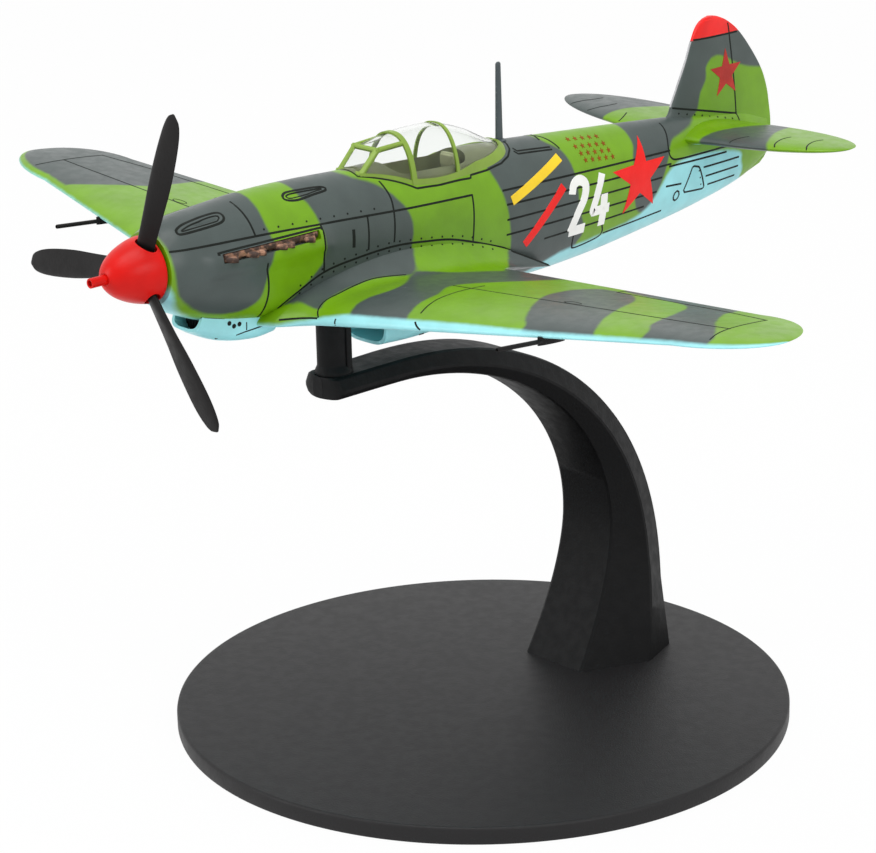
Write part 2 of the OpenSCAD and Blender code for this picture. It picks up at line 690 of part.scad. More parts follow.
stub_count = 6;
stub_r = 0.56;
module exhaust(side) {
    pitch = exhaust_len / stub_count;
    wall_x = body_w / 2 - slot_depth + skin_gap;
    // bed of the manifold, inside the slot
    translate([side > 0 ? wall_x : -wall_x - 0.4, exhaust_y + skin_gap, exhaust_z - slot_h / 2 + skin_gap])
        cube([0.4, exhaust_len - 2 * skin_gap, slot_h - 2 * skin_gap]);
    for (i = [0:stub_count - 1]) translate([side * (wall_x + 0.4), exhaust_y + (i + 0.3) * pitch, exhaust_z])
        rotate([0, side * 90, 0]) rotate([side * -38, 0, 0]) cylinder(r = stub_r, h = 1.3, $fn = 20);
}
module exhaust_left() color("#5c4436") place_aircraft() exhaust(1);
module exhaust_right() color("#5c4436") place_aircraft() exhaust(-1);

// A duct under the skin: rounded box sections from its roof inside the skin to its floor
duct_points = 20;
function duct_ring(y, half, roof, floor_z) =
    [for (k = [0:duct_points - 1]) let (a = 360 * k / duct_points)
        [half * signed_pow(cos(a), 0.5), y,
         (roof + floor_z) / 2 + (roof - floor_z) / 2 * signed_pow(sin(a), 0.5)]];
cooler_y = cowl_y + 4.8;
cooler_half = 3.1;
duct_wall = 0.45;
// Share of the cooler's length, depth of its floor under the thrust line
cooler_floor = [[0, 8.6], [0.12, 9.5], [0.3, 10.4], [0.55, 11.1], [0.8, 11.4], [1, 11.2]];
module cooler_duct(inset, from, to) {
    loft([for (t = [0:0.125:1]) let (u = between(from, to, t))
        duct_ring(cooler_y + u * cooler_len, cooler_half * (1 - 0.16 * pow(1 - u, 3)) - inset,
            -4.5, -smooth_at(cooler_floor, u, 1) + inset)]);
}
module oil_cooler() color(sky) place_aircraft() {
    difference() {
        cooler_duct(0, 0, 1);
        body(skin_gap);
        wing_underside();
        cooler_duct(duct_wall, -0.05, 0.3);
        cooler_duct(duct_wall, 0.85, 1.05);
    }
}
radiator_y = post_station + post_l / 2 + 3.2;
radiator_half = 3.9;
radiator_depth = 16.6;           // depth of its floor below the thrust line
radiator_floor = [[0, 0.985], [0.2, 1], [0.45, 0.995], [0.7, 0.945], [0.9, 0.86], [1, 0.8]];
module radiator_duct(inset, from, to) {
    loft([for (t = [0:0.125:1]) let (u = between(from, to, t))
        duct_ring(radiator_y + u * radiator_len, radiator_half * (1 - 0.25 * pow(max(0, u), 3)) - inset,
            -seat_drop - 1, -radiator_depth * smooth_at(radiator_floor, u, 1) + inset)]);
}
module belly_radiator() color(sky) place_aircraft() {
    difference() {
        radiator_duct(0, 0, 1);
        body(skin_gap);
        wing_underside();
        radiator_duct(duct_wall, -0.05, 0.3);
    }
}

pitot_r = 0.28;
pitot_tilt = 5;                  // upward tilt of the tube, in degrees
module pitot(side) {
    // bracket that reaches up under the wing, then the tube, pointing forward
    translate([side * pitot_x, wing_lead(pitot_x), chord_z + pitot_x * tan(dihedral) - 0.55]) {
        hull() {
            translate([-0.4, 2.2, -1.2]) cube([0.8, 2.4, 1.1]);
            translate([-0.4, -0.45, -0.35]) cube([0.8, 1, 1]);
        }
        rotate([-pitot_tilt, 0, 0])
            along_y(0.6 - pitot_len) cylinder(r = pitot_r, h = pitot_len, $fn = 24);
    }
}
module pitot_left() color(dark) place_aircraft() difference() { pitot(1); wing_loft(); }
module pitot_right() color(dark) place_aircraft() difference() { pitot(-1); wing_loft(); }

// ================= propeller

hub_y = spinner_len - 0.8;                     // plane of the blades, aft of the spinner's tip
hub_r = 1.9;
notch_half = 1.5;                // half-length of the spinner's slot for a blade
notch_angle = 14;                // the slot lies along the blade's root, in degrees
collar_r = shaft_r + 0.5;
collar_t = 0.6;
spinner_wall = 0.55;
module along_y(y) {
    translate([0, y, 0]) rotate([-90, 0, 0]) children();
}
module shaft_bush() color("#b08d57") place_aircraft() along_y(cowl_y) {
    difference() {
        cylinder(r = bush_r, h = bush_len);
        translate([0, 0, -1]) cylinder(r = shaft_r + shaft_gap, h = bush_len + 2);
    }
}
module propeller_shaft() color("silver") place_aircraft() {
    along_y(hub_y - 1.2) cylinder(r = shaft_r, h = cowl_y + bush_len + 0.3 + collar_t - hub_y + 1.2);
    // collar that keeps the shaft in its bush
    along_y(cowl_y + bush_len + 0.3) cylinder(r = collar_r, h = collar_t);
}
// Share of the radius, share of the widest chord, blade angle, thickness share
blade_shape = [
    [0.07, 0.66, 15, 0.40],
    [0.17, 0.72, 14, 0.35],
    [0.28, 0.78, 12, 0.28],
    [0.42, 0.88, 9, 0.20],
    [0.56, 0.97, 5, 0.16],
    [0.70, 1.00, 2, 0.14],
    [0.82, 0.95, 0, 0.13],
    [0.91, 0.82, 0, 0.13],
    [0.97, 0.58, 0, 0.13],
    [1.00, 0.15, 0, 0.16]];
blade_steps = [1, 0.75, 0.5, 0.28, 0.12, 0.03, 0];
function blade_ring(row) =
    let (r = row[0] * prop_d / 2, chord = row[1] * blade_chord, b = row[2],
         side = concat([for (s = blade_steps) [s - 0.42, foil(s, row[3])]],
                       [for (i = [len(blade_steps) - 2:-1:1])
                           [blade_steps[i] - 0.42, -foil(blade_steps[i], row[3])]]))
    [for (q = side) [chord * (q[0] * cos(b) - q[1] * sin(b)), chord * (q[0] * sin(b) + q[1] * cos(b)), r]];
blade_rings = [for (t = [1, 0.99, 0.97, 0.94, 0.89, 0.82, 0.74, 0.65, 0.55, 0.45, 0.36, 0.27, 0.18, 0.07])
    blade_ring([t, for (c = [1:3]) smooth_at(blade_shape, t, c)])];
module each_blade() {
    for (i = [0:2]) rotate([0, blade_phase - 120 * i, 0]) children();
}
module propeller() color(dark) place_aircraft() {
    difference() {
        along_y(hub_y - 1.2) cylinder(r = hub_r, h = spinner_len - hub_y + 1.2);
        along_y(0) cylinder(r = shaft_r, h = 12);
    }
    translate([0, hub_y, 0]) each_blade() loft(blade_rings);
}
function spinner_outline(inset) =
    [for (k = [0:12]) let (a = 90 * k / 12)
        [(spinner_r - inset) * pow(1 - pow(cos(a), 1.45), 0.47),
         spinner_len - (spinner_len - inset) * cos(a)]];
module spinner() color(red) place_aircraft() {
    difference() {
        rotate([-90, 0, 0]) rotate_extrude($fn = 72) polygon(concat([[0, spinner_len]], [[0, 0]],
            [for (p = spinner_outline(0)) if (p[0] > 0) p]));
        rotate([-90, 0, 0]) rotate_extrude($fn = 72) polygon(concat([[0, spinner_len + 1]],
            [[0, spinner_wall]], [for (p = spinner_outline(spinner_wall)) if (p[0] > 0) p],
            [[spinner_r - spinner_wall, spinner_len + 1]]));
        translate([0, hub_y, 0]) each_blade() rotate([0, 0, notch_angle])
            linear_extrude(spinner_r + 1) translate([0.2, 0]) scale([1, 0.6]) circle(r = notch_half, $fn = 40);
    }
    along_y(-gun_len) difference() {
        cylinder(r = gun_r, h = gun_len + 0.6);
        translate([0, 0, -1]) cylinder(r = gun_r * 0.6, h = 1 + gun_bore_len);
    }
}
gun_r = 0.6;
gun_len = 2;
gun_bore_len = 1.1;
module spinner_backplate() color(red) place_aircraft() along_y(spinner_len + 0.02) {
    difference() {
        cylinder(r = spinner_r - 0.05, h = plate_t);
        translate([0, 0, -1]) cylinder(r = shaft_r, h = 3);
    }
}

stand_base();
stand_arm();
stand_post();
base_screws();
fuselage_left();
fuselage_right();
wing();
wing_screws();
tailplane_left();
tailplane_right();
cockpit_tub();
pilot_seat();
instrument_panel();
control_stick();
headrest();
canopy_glass();
canopy_frame();
antenna_mast();
exhaust_left();
exhaust_right();
oil_cooler();
belly_radiator();
pitot_left();
pitot_right();
shaft_bush();
propeller_shaft();
propeller();
spinner();
spinner_backplate();
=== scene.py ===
# %% [markdown]
# # A display model of a piston fighter on an arched stand
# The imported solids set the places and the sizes. This script dresses them: smooth skins with
# camouflage paint, inked panel lines, clear glazing, a black stand, a pale floor, soft lamps and
# a camera. Each cell makes one piece or one finish and says what it made.

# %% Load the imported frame
import json
import math
import bmesh
import bpy
import numpy as np
from mathutils import Matrix, Vector
from mathutils.bvhtree import BVHTree


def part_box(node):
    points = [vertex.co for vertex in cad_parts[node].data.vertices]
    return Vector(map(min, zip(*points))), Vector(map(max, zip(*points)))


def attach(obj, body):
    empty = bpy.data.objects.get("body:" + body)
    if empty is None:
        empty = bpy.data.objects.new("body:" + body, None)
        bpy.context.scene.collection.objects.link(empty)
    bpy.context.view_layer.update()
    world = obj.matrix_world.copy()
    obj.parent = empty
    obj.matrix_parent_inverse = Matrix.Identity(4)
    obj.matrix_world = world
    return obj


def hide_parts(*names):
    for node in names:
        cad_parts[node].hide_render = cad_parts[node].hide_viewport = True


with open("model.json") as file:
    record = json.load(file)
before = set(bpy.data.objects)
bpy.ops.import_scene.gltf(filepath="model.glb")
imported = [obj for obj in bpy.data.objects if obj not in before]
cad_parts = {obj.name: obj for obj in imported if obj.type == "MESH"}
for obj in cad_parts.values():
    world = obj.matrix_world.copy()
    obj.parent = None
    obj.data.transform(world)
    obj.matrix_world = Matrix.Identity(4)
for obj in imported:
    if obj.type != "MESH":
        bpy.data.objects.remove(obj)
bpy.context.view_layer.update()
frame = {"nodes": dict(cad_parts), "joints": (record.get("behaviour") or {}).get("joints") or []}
nodes = frame["nodes"]

# %% [markdown]
# ## Working in the aircraft's own millimetres
# A model maker measures an aircraft from the spinner's tip: across to port (x), aft (u) and above
# the thrust line (w), in millimetres. Every shape below is drawn that way and carried into the
# frame by one matrix at the end, so no object is ever moved, turned or scaled.

# %% From aircraft millimetres to the frame
MM = 0.001
COWL_U = 6.55                        # the cowling's front rim, aft of the spinner's tip
spin_joint = next(j for j in frame["joints"] if j["name"] == "propeller_spin")
nose_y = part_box("fuselage_left")[0].y - COWL_U * MM
thrust_z = spin_joint["pos_m"][2]
TO_FRAME = Matrix.Translation((0, nose_y, thrust_z)) @ Matrix.Diagonal((MM, MM, MM, 1))
TO_STAND = Matrix.Diagonal((MM, MM, MM, 1))
SIDES = ((1, "left"), (-1, "right"))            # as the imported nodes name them
FLANKS = ((1, "port"), (-1, "starboard"))       # as the painted pieces name them
print("spinner tip at", round(nose_y, 4), "thrust line at", round(thrust_z, 4))

# %% [markdown]
# ## Camera
# The eye stands off the port bow, a little above the model, with a long lens, so the near wing
# reaches towards it. The camera is turned a hair about its own axis, as a hand-held one is.

# %% Camera
EYE = Vector((266.51, -261.31, 166.78)) * MM
AZIMUTH, ELEVATION, ROLL = (math.radians(a) for a in (46.16, 18.62, -1.26))
back = Vector((math.sin(AZIMUTH) * math.cos(ELEVATION), -math.cos(AZIMUTH) * math.cos(ELEVATION),
               math.sin(ELEVATION)))
level = Vector((math.cos(AZIMUTH), math.sin(AZIMUTH), 0))
upright = back.cross(level)
across = level * math.cos(ROLL) + upright * math.sin(ROLL)
upward = upright * math.cos(ROLL) - level * math.sin(ROLL)
camera = bpy.data.objects.new("camera", bpy.data.cameras.new("camera"))
bpy.context.scene.collection.objects.link(camera)
turn = Matrix((across, upward, back)).transposed().to_4x4()
camera.matrix_world = Matrix.Translation(EYE) @ turn
camera.data.lens = 122.69
camera.data.sensor_width = 36
camera.data.shift_x = -0.01183
camera.data.shift_y = -0.00408
camera.data.clip_start = 0.01
camera.data.clip_end = 20
bpy.context.scene.camera = camera
bpy.context.scene.view_settings.view_transform = "Standard"
print("camera", round(math.degrees(AZIMUTH), 1), "degrees round,", camera.data.lens, "mm lens")

# %% [markdown]
# ## Materials
# A finish is a small graph of nodes. The helper below keeps such a graph readable: each call adds
# one node, sets its sockets, and takes either a number or another node's output.

# %% A helper that writes node graphs
def linear(red, green, blue):
    """A colour given as values on a screen, as the light it stands for."""
    parts = [c / 255 for c in (red, green, blue)]
    return tuple(c / 12.92 if c <= 0.04045 else ((c + 0.055) / 1.055) ** 2.4 for c in parts) + (1,)


class Graph:
    """A node tree, written one call at a time."""

    def __init__(self, tree):
        self.tree = tree

    def add(self, kind, inputs=None, **settings):
        node = self.tree.nodes.new("ShaderNode" + kind)
        for key, value in settings.items():
            setattr(node, key, value)
        for socket, value in (inputs or {}).items():
            self.feed(node.inputs[socket], value)
        return node

    def feed(self, socket, value):
        if isinstance(value, bpy.types.NodeSocket):
            self.tree.links.new(value, socket)
        else:
            socket.default_value = value

    def place(self):
        return self.add("TexCoord").outputs["Object"]

    def noise(self, scale, detail):
        return self.add("TexNoise", {"Vector": self.place(), "Scale": scale, "Detail": detail}).outputs[0]

    def math(self, operation, a, b=0.0):
        return self.add("Math", {0: a, 1: b}, operation=operation).outputs[0]

    def ramp(self, value, low, high, to_low=0.0, to_high=1.0):
        return self.add("MapRange", {0: value, 1: low, 2: high, 3: to_low, 4: to_high},
                        interpolation_type="SMOOTHSTEP").outputs[0]

    def mix(self, share, a, b):
        node = self.add("Mix", data_type="RGBA")
        for key, value in ((0, share), (6, a), (7, b)):
            self.feed(node.inputs[key], value)
        return node.outputs[2]

    def bump(self, height, distance):
        return self.add("Bump", {"Height": height, "Distance": distance, "Strength": 1.0}).outputs[0]


class Finish(Graph):
    """A material whose Principled shader is ready for use."""

    def __init__(self, name):
        self.material = bpy.data.materials.new(name)
        self.material.use_nodes = True
        super().__init__(self.material.node_tree)
        self.shader = self.tree.nodes["Principled BSDF"]

    def set(self, **sockets):
        for name, value in sockets.items():
            self.feed(self.shader.inputs[name.replace("_", " ")], value)
        return self.material


def dress(node_name, material):
    """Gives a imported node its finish."""
    slots = nodes[node_name].data.materials
    slots.clear()
    slots.append(material)


print("finish helper ready")

# %% [markdown]
# ## Camouflage paint
# The real skin is cast metal and plastic, sprayed green, with grey patches and a light blue
# underside whose edges are a little soft. Each vertex of a skin carries how far inside a patch it
# lies, in millimetres. The shader turns that distance into an edge, so the edge stays crisp
# however coarse the mesh is. A faint mottle, a slow change of roughness and a fine orange peel
# make it sprayed lacquer and not flat colour.

# %% Camouflage paint
GREEN = linear(110, 158, 6)
GREY = linear(70, 80, 78)
SKY = linear(156, 224, 230)
STAR_RED = linear(244, 20, 14)
DULL_GREEN = linear(104, 110, 78)
SOFT_EDGE = 0.28                     # half-width of a sprayed edge


def patch(paint, name, wander=0.25, soft=SOFT_EDGE):
    """How much of the colour stored under that name covers a spot."""
    inside = paint.add("Attribute", attribute_name=name).outputs["Fac"]
    drift = paint.math("MULTIPLY", paint.math("SUBTRACT", paint.noise(900, 3), 0.5), wander)
    return paint.ramp(paint.math("ADD", inside, drift), -soft, soft)


def sprayed(paint, colour):
    """Mottle, roughness and orange peel over a colour."""
    cloud = paint.noise(260, 4)
    shade = paint.ramp(cloud, 0.3, 0.7, 0.92, 1.06)
    tint = paint.add("HueSaturation", {"Value": shade, "Color": colour}).outputs[0]
    gloss = paint.ramp(paint.noise(700, 3), 0.3, 0.7, 0.30, 0.40)
    peel = paint.bump(paint.noise(5200, 2), 0.000012)
    return paint.set(Base_Color=tint, Roughness=gloss, Normal=peel, Specular_IOR_Level=0.38)


camouflage = Finish("camouflage")
coat = camouflage.mix(patch(camouflage, "grey"), GREEN, GREY)
coat = camouflage.mix(patch(camouflage, "blue", soft=0.4), coat, SKY)
coat = camouflage.mix(patch(camouflage, "red", wander=0.05, soft=0.1), coat, STAR_RED)
coat = camouflage.mix(patch(camouflage, "deck", wander=0.05, soft=0.1), coat, DULL_GREEN)
CAMOUFLAGE = sprayed(camouflage, coat)

UNDERSIDE = sprayed(Finish("underside_blue"), SKY)
print("camouflage and underside paint ready")

# %% [markdown]
# ## Plainer finishes
# The stand is moulded in black plastic with a fine grain, the base a shade lighter where light
# skims it. The blades are satin black, the spinner a shiny red, the exhausts a dry-brushed brown,
# the cockpit a dull green, painted lighter than it is to make up for the shade in the tub. Each has
# its own mottle and its own change of roughness, and the moulded and metal ones have a grain of
# their own.

# %% Moulded, painted and metal finishes
def plain_finish(name, colour, roughness, mottle=0.1, grain=(2600, 0.00002), metallic=0.0, shine=0.5):
    finish = Finish(name)
    shade = finish.ramp(finish.noise(300, 4), 0.3, 0.7, 1 - mottle, 1 + mottle)
    tint = finish.add("HueSaturation", {"Value": shade, "Color": linear(*colour)}).outputs[0]
    gloss = finish.ramp(finish.noise(690, 3), 0.3, 0.7, *roughness)
    texture = finish.bump(finish.noise(grain[0], 3), grain[1])
    return finish.set(Base_Color=tint, Roughness=gloss, Normal=texture, Metallic=metallic,
                      Specular_IOR_Level=shine)


STAND_BLACK = plain_finish("stand_black", (12, 12, 13), (0.5, 0.6), 0.02, (3000, 0.00003), shine=0.16)
BASE_BLACK = plain_finish("base_black", (28, 27, 28), (0.47, 0.52), 0.015, (4200, 0.00004), shine=0.27)
BLADE_BLACK = plain_finish("blade_black", (16, 14, 14), (0.36, 0.5), 0.12, (2400, 0.00002), shine=0.18)
SPINNER_RED = plain_finish("spinner_red", (206, 14, 6), (0.32, 0.42), 0.05, (2600, 0.00001), shine=0.2)
PANEL_BLACK = plain_finish("panel_black", (34, 36, 36), (0.45, 0.6), 0.1)
# lighter than the real dull green: painted light for the shaded tub and headrest
LIGHTENED_COCKPIT_GREEN = plain_finish("cockpit_green", (150, 154, 118), (0.5, 0.65), 0.08)
CANOPY_PAINT = plain_finish("canopy_paint", (128, 158, 52), (0.36, 0.48), 0.06)
MAST_GREY = plain_finish("mast_grey", (62, 72, 76), (0.4, 0.5), 0.06)
# ink for the panel lines, also used for a painted shadow line along the top of each exhaust slot
INK_AND_SHADOW = plain_finish("panel_ink_and_shadow", (14, 20, 15), (0.5, 0.7), 0.2, shine=0.2)
# steel for the screws and the shaft, also laid along the fin's leading edge as a painted highlight
STEEL_AND_EDGE_HIGHLIGHT = plain_finish("steel_and_edge_highlight", (176, 176, 178), (0.25, 0.4), 0.08, (3800, 0.00002), 1.0)
BRASS = plain_finish("bush_brass", (190, 150, 88), (0.25, 0.4), 0.08, (3800, 0.00002), 1.0)
WHITE_MARK = plain_finish("white_marking", (246, 246, 242), (0.4, 0.5), 0.03)
RED_MARK = plain_finish("red_marking", (240, 22, 16), (0.4, 0.5), 0.04, shine=0.3)
WORN_RED = plain_finish("worn_red_marking", (184, 42, 32), (0.4, 0.5), 0.16, shine=0.3)
SMALL_STAR = plain_finish("small_star_red", (140, 72, 8), (0.4, 0.5), 0.1, shine=0.2)
YELLOW_MARK = plain_finish("yellow_marking", (246, 206, 28), (0.4, 0.5), 0.05)
LEATHER = plain_finish("seat_leather", (58, 46, 34), (0.5, 0.65), 0.15, (1800, 0.00008))
print("plain finishes ready:", len(bpy.data.materials))

# %% Exhaust brown
exhaust_paint = Finish("exhaust_brown")
streak = exhaust_paint.ramp(exhaust_paint.noise(1300, 5), 0.42, 0.66)
burnt = exhaust_paint.mix(streak, linear(58, 40, 32), linear(146, 106, 82))
EXHAUST_BROWN = exhaust_paint.set(
    Base_Color=burnt, Metallic=0.35, Roughness=exhaust_paint.ramp(streak, 0, 1, 0.55, 0.34),
    Normal=exhaust_paint.bump(exhaust_paint.noise(3400, 4), 0.00004))
print("exhaust finish ready")

# %% Clear moulding of the canopy
clear = Finish("clear_canopy")
CLEAR = clear.set(Base_Color=(0.97, 0.985, 0.97, 1), Transmission_Weight=1.0, IOR=1.2,
                  Roughness=clear.ramp(clear.noise(600, 2), 0.3, 0.7, 0.01, 0.05))
print("clear finish ready")

# %% [markdown]
# ## Tools for shaping
# Most pieces here are lofts: a section that changes along a line. A grid is wrapped into a tube,
# each of its vertices is set by a rule, and the seam and the poles are closed.

# %% Wrapped grids, cuts and finishing
def wrapped(rows, cols, shape, closed=True):
    """A grid of rows by cols whose vertices stand where shape(s, t) puts them, both from 0 to 1."""
    bm = bmesh.new()
    bmesh.ops.create_grid(bm, x_segments=rows, y_segments=cols, size=0.5)
    s = np.array([v.co.x for v in bm.verts]) + 0.5
    t = np.array([v.co.y for v in bm.verts]) + 0.5
    for vert, spot in zip(bm.verts, np.column_stack(shape(s, t))):
        vert.co = spot
    bmesh.ops.remove_doubles(bm, verts=bm.verts, dist=0.0005)
    if closed:
        rims = [e for e in bm.edges if e.is_boundary]
        bmesh.ops.holes_fill(bm, edges=rims, sides=0)
    bmesh.ops.recalc_face_normals(bm, faces=bm.faces)
    return bm


def made(bm, name, material, body="aircraft", stands_for=(), crease=40, carry=TO_FRAME):
    """Carries a finished mesh into the frame as a named piece that rides on a body."""
    bm.transform(carry)
    for face in bm.faces:
        face.smooth = True
    for edge in bm.edges:
        edge.smooth = len(edge.link_faces) == 2 and edge.calc_face_angle(0) < math.radians(crease)
    mesh = bpy.data.meshes.new(name)
    bm.to_mesh(mesh)
    bm.free()
    mesh.materials.append(material)
    piece = bpy.data.objects.new(name, mesh)
    bpy.context.scene.collection.objects.link(piece)
    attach(piece, body)
    if stands_for:
        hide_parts(*stands_for)
    print(f"{name}: {len(mesh.polygons)} faces on {body}")
    return piece


def joined(parts):
    """Several meshes as one."""
    whole = bmesh.new()
    for part in parts:
        step = bpy.data.meshes.new("step")
        part.to_mesh(step)
        part.free()
        whole.from_mesh(step)
        bpy.data.meshes.remove(step)
    return whole


def carved(bm, cutter):
    """The mesh after one cut by another, which is used up."""
    pair = []
    for part in (bm, cutter):
        mesh = bpy.data.meshes.new("step")
        bmesh.ops.triangulate(part, faces=[f for f in part.faces if len(f.verts) > 4])
        part.to_mesh(mesh)
        part.free()
        step = bpy.data.objects.new("step", mesh)
        bpy.context.scene.collection.objects.link(step)
        pair.append(step)
    cut = pair[0].modifiers.new("cut", "BOOLEAN")
    cut.operation = "DIFFERENCE"
    cut.solver = "EXACT"
    cut.object = pair[1]
    result = bpy.data.meshes.new_from_object(
        pair[0].evaluated_get(bpy.context.evaluated_depsgraph_get()))
    out = bmesh.new()
    out.from_mesh(result)
    for step in pair:
        mesh = step.data
        bpy.data.objects.remove(step)
        bpy.data.meshes.remove(mesh)
    bpy.data.meshes.remove(result)
    return out


def block(low, high, bevel=0.0, edges=lambda e: True, segments=3):
    """A box between two corners with rounded edges."""
    bm = bmesh.new()
    bmesh.ops.create_cube(bm, size=1)
    size = Vector(high) - Vector(low)
    bmesh.ops.scale(bm, vec=size, verts=bm.verts)
    bmesh.ops.translate(bm, vec=(Vector(high) + Vector(low)) / 2, verts=bm.verts)
    if bevel:
        bmesh.ops.bevel(bm, geom=[e for e in bm.edges if edges(e)], offset=bevel, segments=segments,
                        profile=0.5, affect="EDGES", material=-1)
    return bm


def turned(profile, steps):
    """A profile of (radius, place along u), spun round the thrust line."""
    bm = bmesh.new()
    spots = [bm.verts.new((r, u, 0)) for r, u in profile]
    line = [bm.edges.new(pair) for pair in zip(spots, spots[1:])]
    bmesh.ops.spin(bm, geom=spots + line, cent=(0, 0, 0), axis=(0, 1, 0), angle=math.tau,
                   steps=steps, use_merge=True)
    bmesh.ops.remove_doubles(bm, verts=bm.verts, dist=0.0005)
    bmesh.ops.recalc_face_normals(bm, faces=bm.faces)
    return bm


def peg(radius, start, end, sides, radius_end=None):
    """A straight rod between two points."""
    axis = Vector(end) - Vector(start)
    turn = Vector((0, 0, 1)).rotation_difference(axis).to_matrix().to_4x4()
    bm = bmesh.new()
    bmesh.ops.create_cone(bm, cap_ends=True, segments=sides, radius1=radius,
                          radius2=radius if radius_end is None else radius_end, depth=axis.length,
                          matrix=Matrix.Translation((Vector(start) + Vector(end)) / 2) @ turn)
    return bm


def side_block(side, near, far, low, high, bevel):
    """A box on one flank: near and far are distances from the centreline, low and high (u, w)."""
    left, right = sorted((side * near, side * far))
    return block((left, *low), (right, *high), bevel)


print("shaping tools ready")

# %% [markdown]
# ## Lines of the fuselage
# The body is a row of sections from the cowling to the sternpost. Each has a crown, a belly, a
# half-width and a waist, the height at which it is widest. A smooth curve runs through the shares
# listed here, the same shares that the solid was lofted from.

# %% Lines of the fuselage
BODY_LEN, BODY_HALF, CROWN, BELLY, COWL_R = 111.6, 5.8, 6.4, 13.6, 4.4
BODY_LINES = [                       # share of the length, crown, belly, width, waist, roundness
    (0.00, COWL_R / CROWN, COWL_R / BELLY, COWL_R / BODY_HALF, 0.0, 2.1),
    (0.02, 0.83, 0.43, 0.86, 0.3, 2.2),
    (0.07, 0.92, 0.59, 0.95, 0.8, 2.3),
    (0.14, 1.00, 0.70, 0.99, 1.2, 2.5),
    (0.21, 0.99, 0.81, 1.00, 1.6, 2.6),
    (0.28, 0.94, 0.86, 1.00, 2.0, 2.6),
    (0.35, 0.92, 0.88, 1.00, 2.2, 2.4),
    (0.44, 0.85, 0.93, 0.98, 2.6, 2.3),
    (0.53, 0.76, 1.00, 0.94, 2.8, 2.2),
    (0.64, 0.61, 0.98, 0.84, 3.0, 2.1),
    (0.75, 0.46, 0.90, 0.69, 3.2, 2.1),
    (0.86, 0.28, 0.79, 0.50, 3.4, 2.1),
    (0.95, 0.08, 0.65, 0.26, 3.6, 2.1),
    (1.00, -0.22, 0.47, 0.10, 4.0, 2.0)]


def smooth(table, place, column):
    """A smooth curve through one column of a table whose first column is the place."""
    rows = np.asarray(table, float)
    xs, ys = rows[:, 0], rows[:, column]
    place = np.asarray(place, float)
    i = np.clip(np.searchsorted(xs[1:], place), 0, len(xs) - 2)
    order = np.arange(len(xs))
    before, after = np.maximum(order - 1, 0), np.minimum(order + 1, len(xs) - 1)
    slope = (ys[after] - ys[before]) / (xs[after] - xs[before])
    step = xs[i + 1] - xs[i]
    t = np.clip((place - xs[i]) / step, 0, 1)
    return ((2 * t ** 3 - 3 * t * t + 1) * ys[i] + (t ** 3 - 2 * t * t + t) * slope[i] * step
            + (3 * t * t - 2 * t ** 3) * ys[i + 1] + (t ** 3 - t * t) * slope[i + 1] * step)


def along_body(u, column):
    return smooth(BODY_LINES, (np.asarray(u) - COWL_U) / BODY_LEN, column)


def crown(u):
    return CROWN * along_body(u, 1)


def belly(u):
    return BELLY * along_body(u, 2)


def half_width(u):
    return BODY_HALF * along_body(u, 3)


def waist(u):
    return -along_body(u, 4)


def skin_height(x, u):
    """Height of the upper skin at a distance x from the centreline."""
    return waist(u) + (crown(u) - waist(u)) * np.sqrt(np.maximum(0, 1 - (x / half_width(u)) ** 2))


def signed_power(value, power):
    return np.sign(value) * np.abs(value) ** power


STERN_U = COWL_U + BODY_LEN
print("sternpost", STERN_U, "mm aft; widest", 2 * BODY_HALF, "mm")

# %% [markdown]
# ## Outlines and distances
# Paint patches, gun troughs and hatches are drawn as a few listed points. A closed curve runs
# through them, and each vertex of the skin is asked how far inside the curve it lies.

# %% Outlines and distances
def curve_through(points, closed=True, steps=8):
    """A rounded line through a few points."""
    p = np.asarray(points, float)
    count = len(p) if closed else len(p) - 1
    out = []
    for i in range(count):
        if closed:
            a, b, c, d = (p[(i + k) % len(p)] for k in (-1, 0, 1, 2))
        else:
            a, b, c, d = (p[min(max(i + k, 0), len(p) - 1)] for k in (-1, 0, 1, 2))
        for t in np.arange(steps) / steps:
            out.append(b + 0.5 * t * (c - a + t * (2 * a - 5 * b + 4 * c - d + t * (3 * (b - c) + d - a))))
    if not closed:
        out.append(p[-1])
    return np.array(out)


def depth_inside(x, y, outline):
    """How far inside a closed outline each spot lies; negative outside."""
    a = np.asarray(outline)
    b = np.roll(a, -1, axis=0)
    nearest = np.full(len(x), 1e9)
    crossings = np.zeros(len(x), int)
    for (ax, ay), (bx, by) in zip(a, b):
        dx, dy = bx - ax, by - ay
        t = np.clip(((x - ax) * dx + (y - ay) * dy) / max(dx * dx + dy * dy, 1e-12), 0, 1)
        nearest = np.minimum(nearest, np.hypot(x - ax - t * dx, y - ay - t * dy))
        if ay != by:
            passes = ((ay > y) != (by > y)) & (x < ax + (y - ay) * dx / dy)
            crossings += passes
    return np.where(crossings % 2 == 1, nearest, -nearest)


def covered(x, y, areas, steps=8):
    """How far inside the nearest of several rounded patches each spot lies."""
    return np.max([depth_inside(x, y, curve_through(area, steps=steps)) for area in areas], axis=0)


def store(piece, **fields):
    """Keeps one number per vertex under each name, for the paint to read."""
    for name, values in fields.items():
        column = piece.data.attributes.new(name, "FLOAT", "POINT")
        column.data.foreach_set("value", np.asarray(values, np.float32))


def in_aircraft(piece):
    """Where each vertex of a piece lies, in aircraft millimetres."""
    spots = np.zeros(len(piece.data.vertices) * 3)
    piece.data.vertices.foreach_get("co", spots)
    spots = spots.reshape(-1, 3)
    return spots[:, 0] / MM, (spots[:, 1] - nose_y) / MM, (spots[:, 2] - thrust_z) / MM


print("outline tools ready")

# %% [markdown]
# ## Camouflage seen from the side
# Grey is sprayed over green in broad slanting patches, light blue covers the belly. The outlines
# are drawn on the side view, so both flanks carry the same pattern.

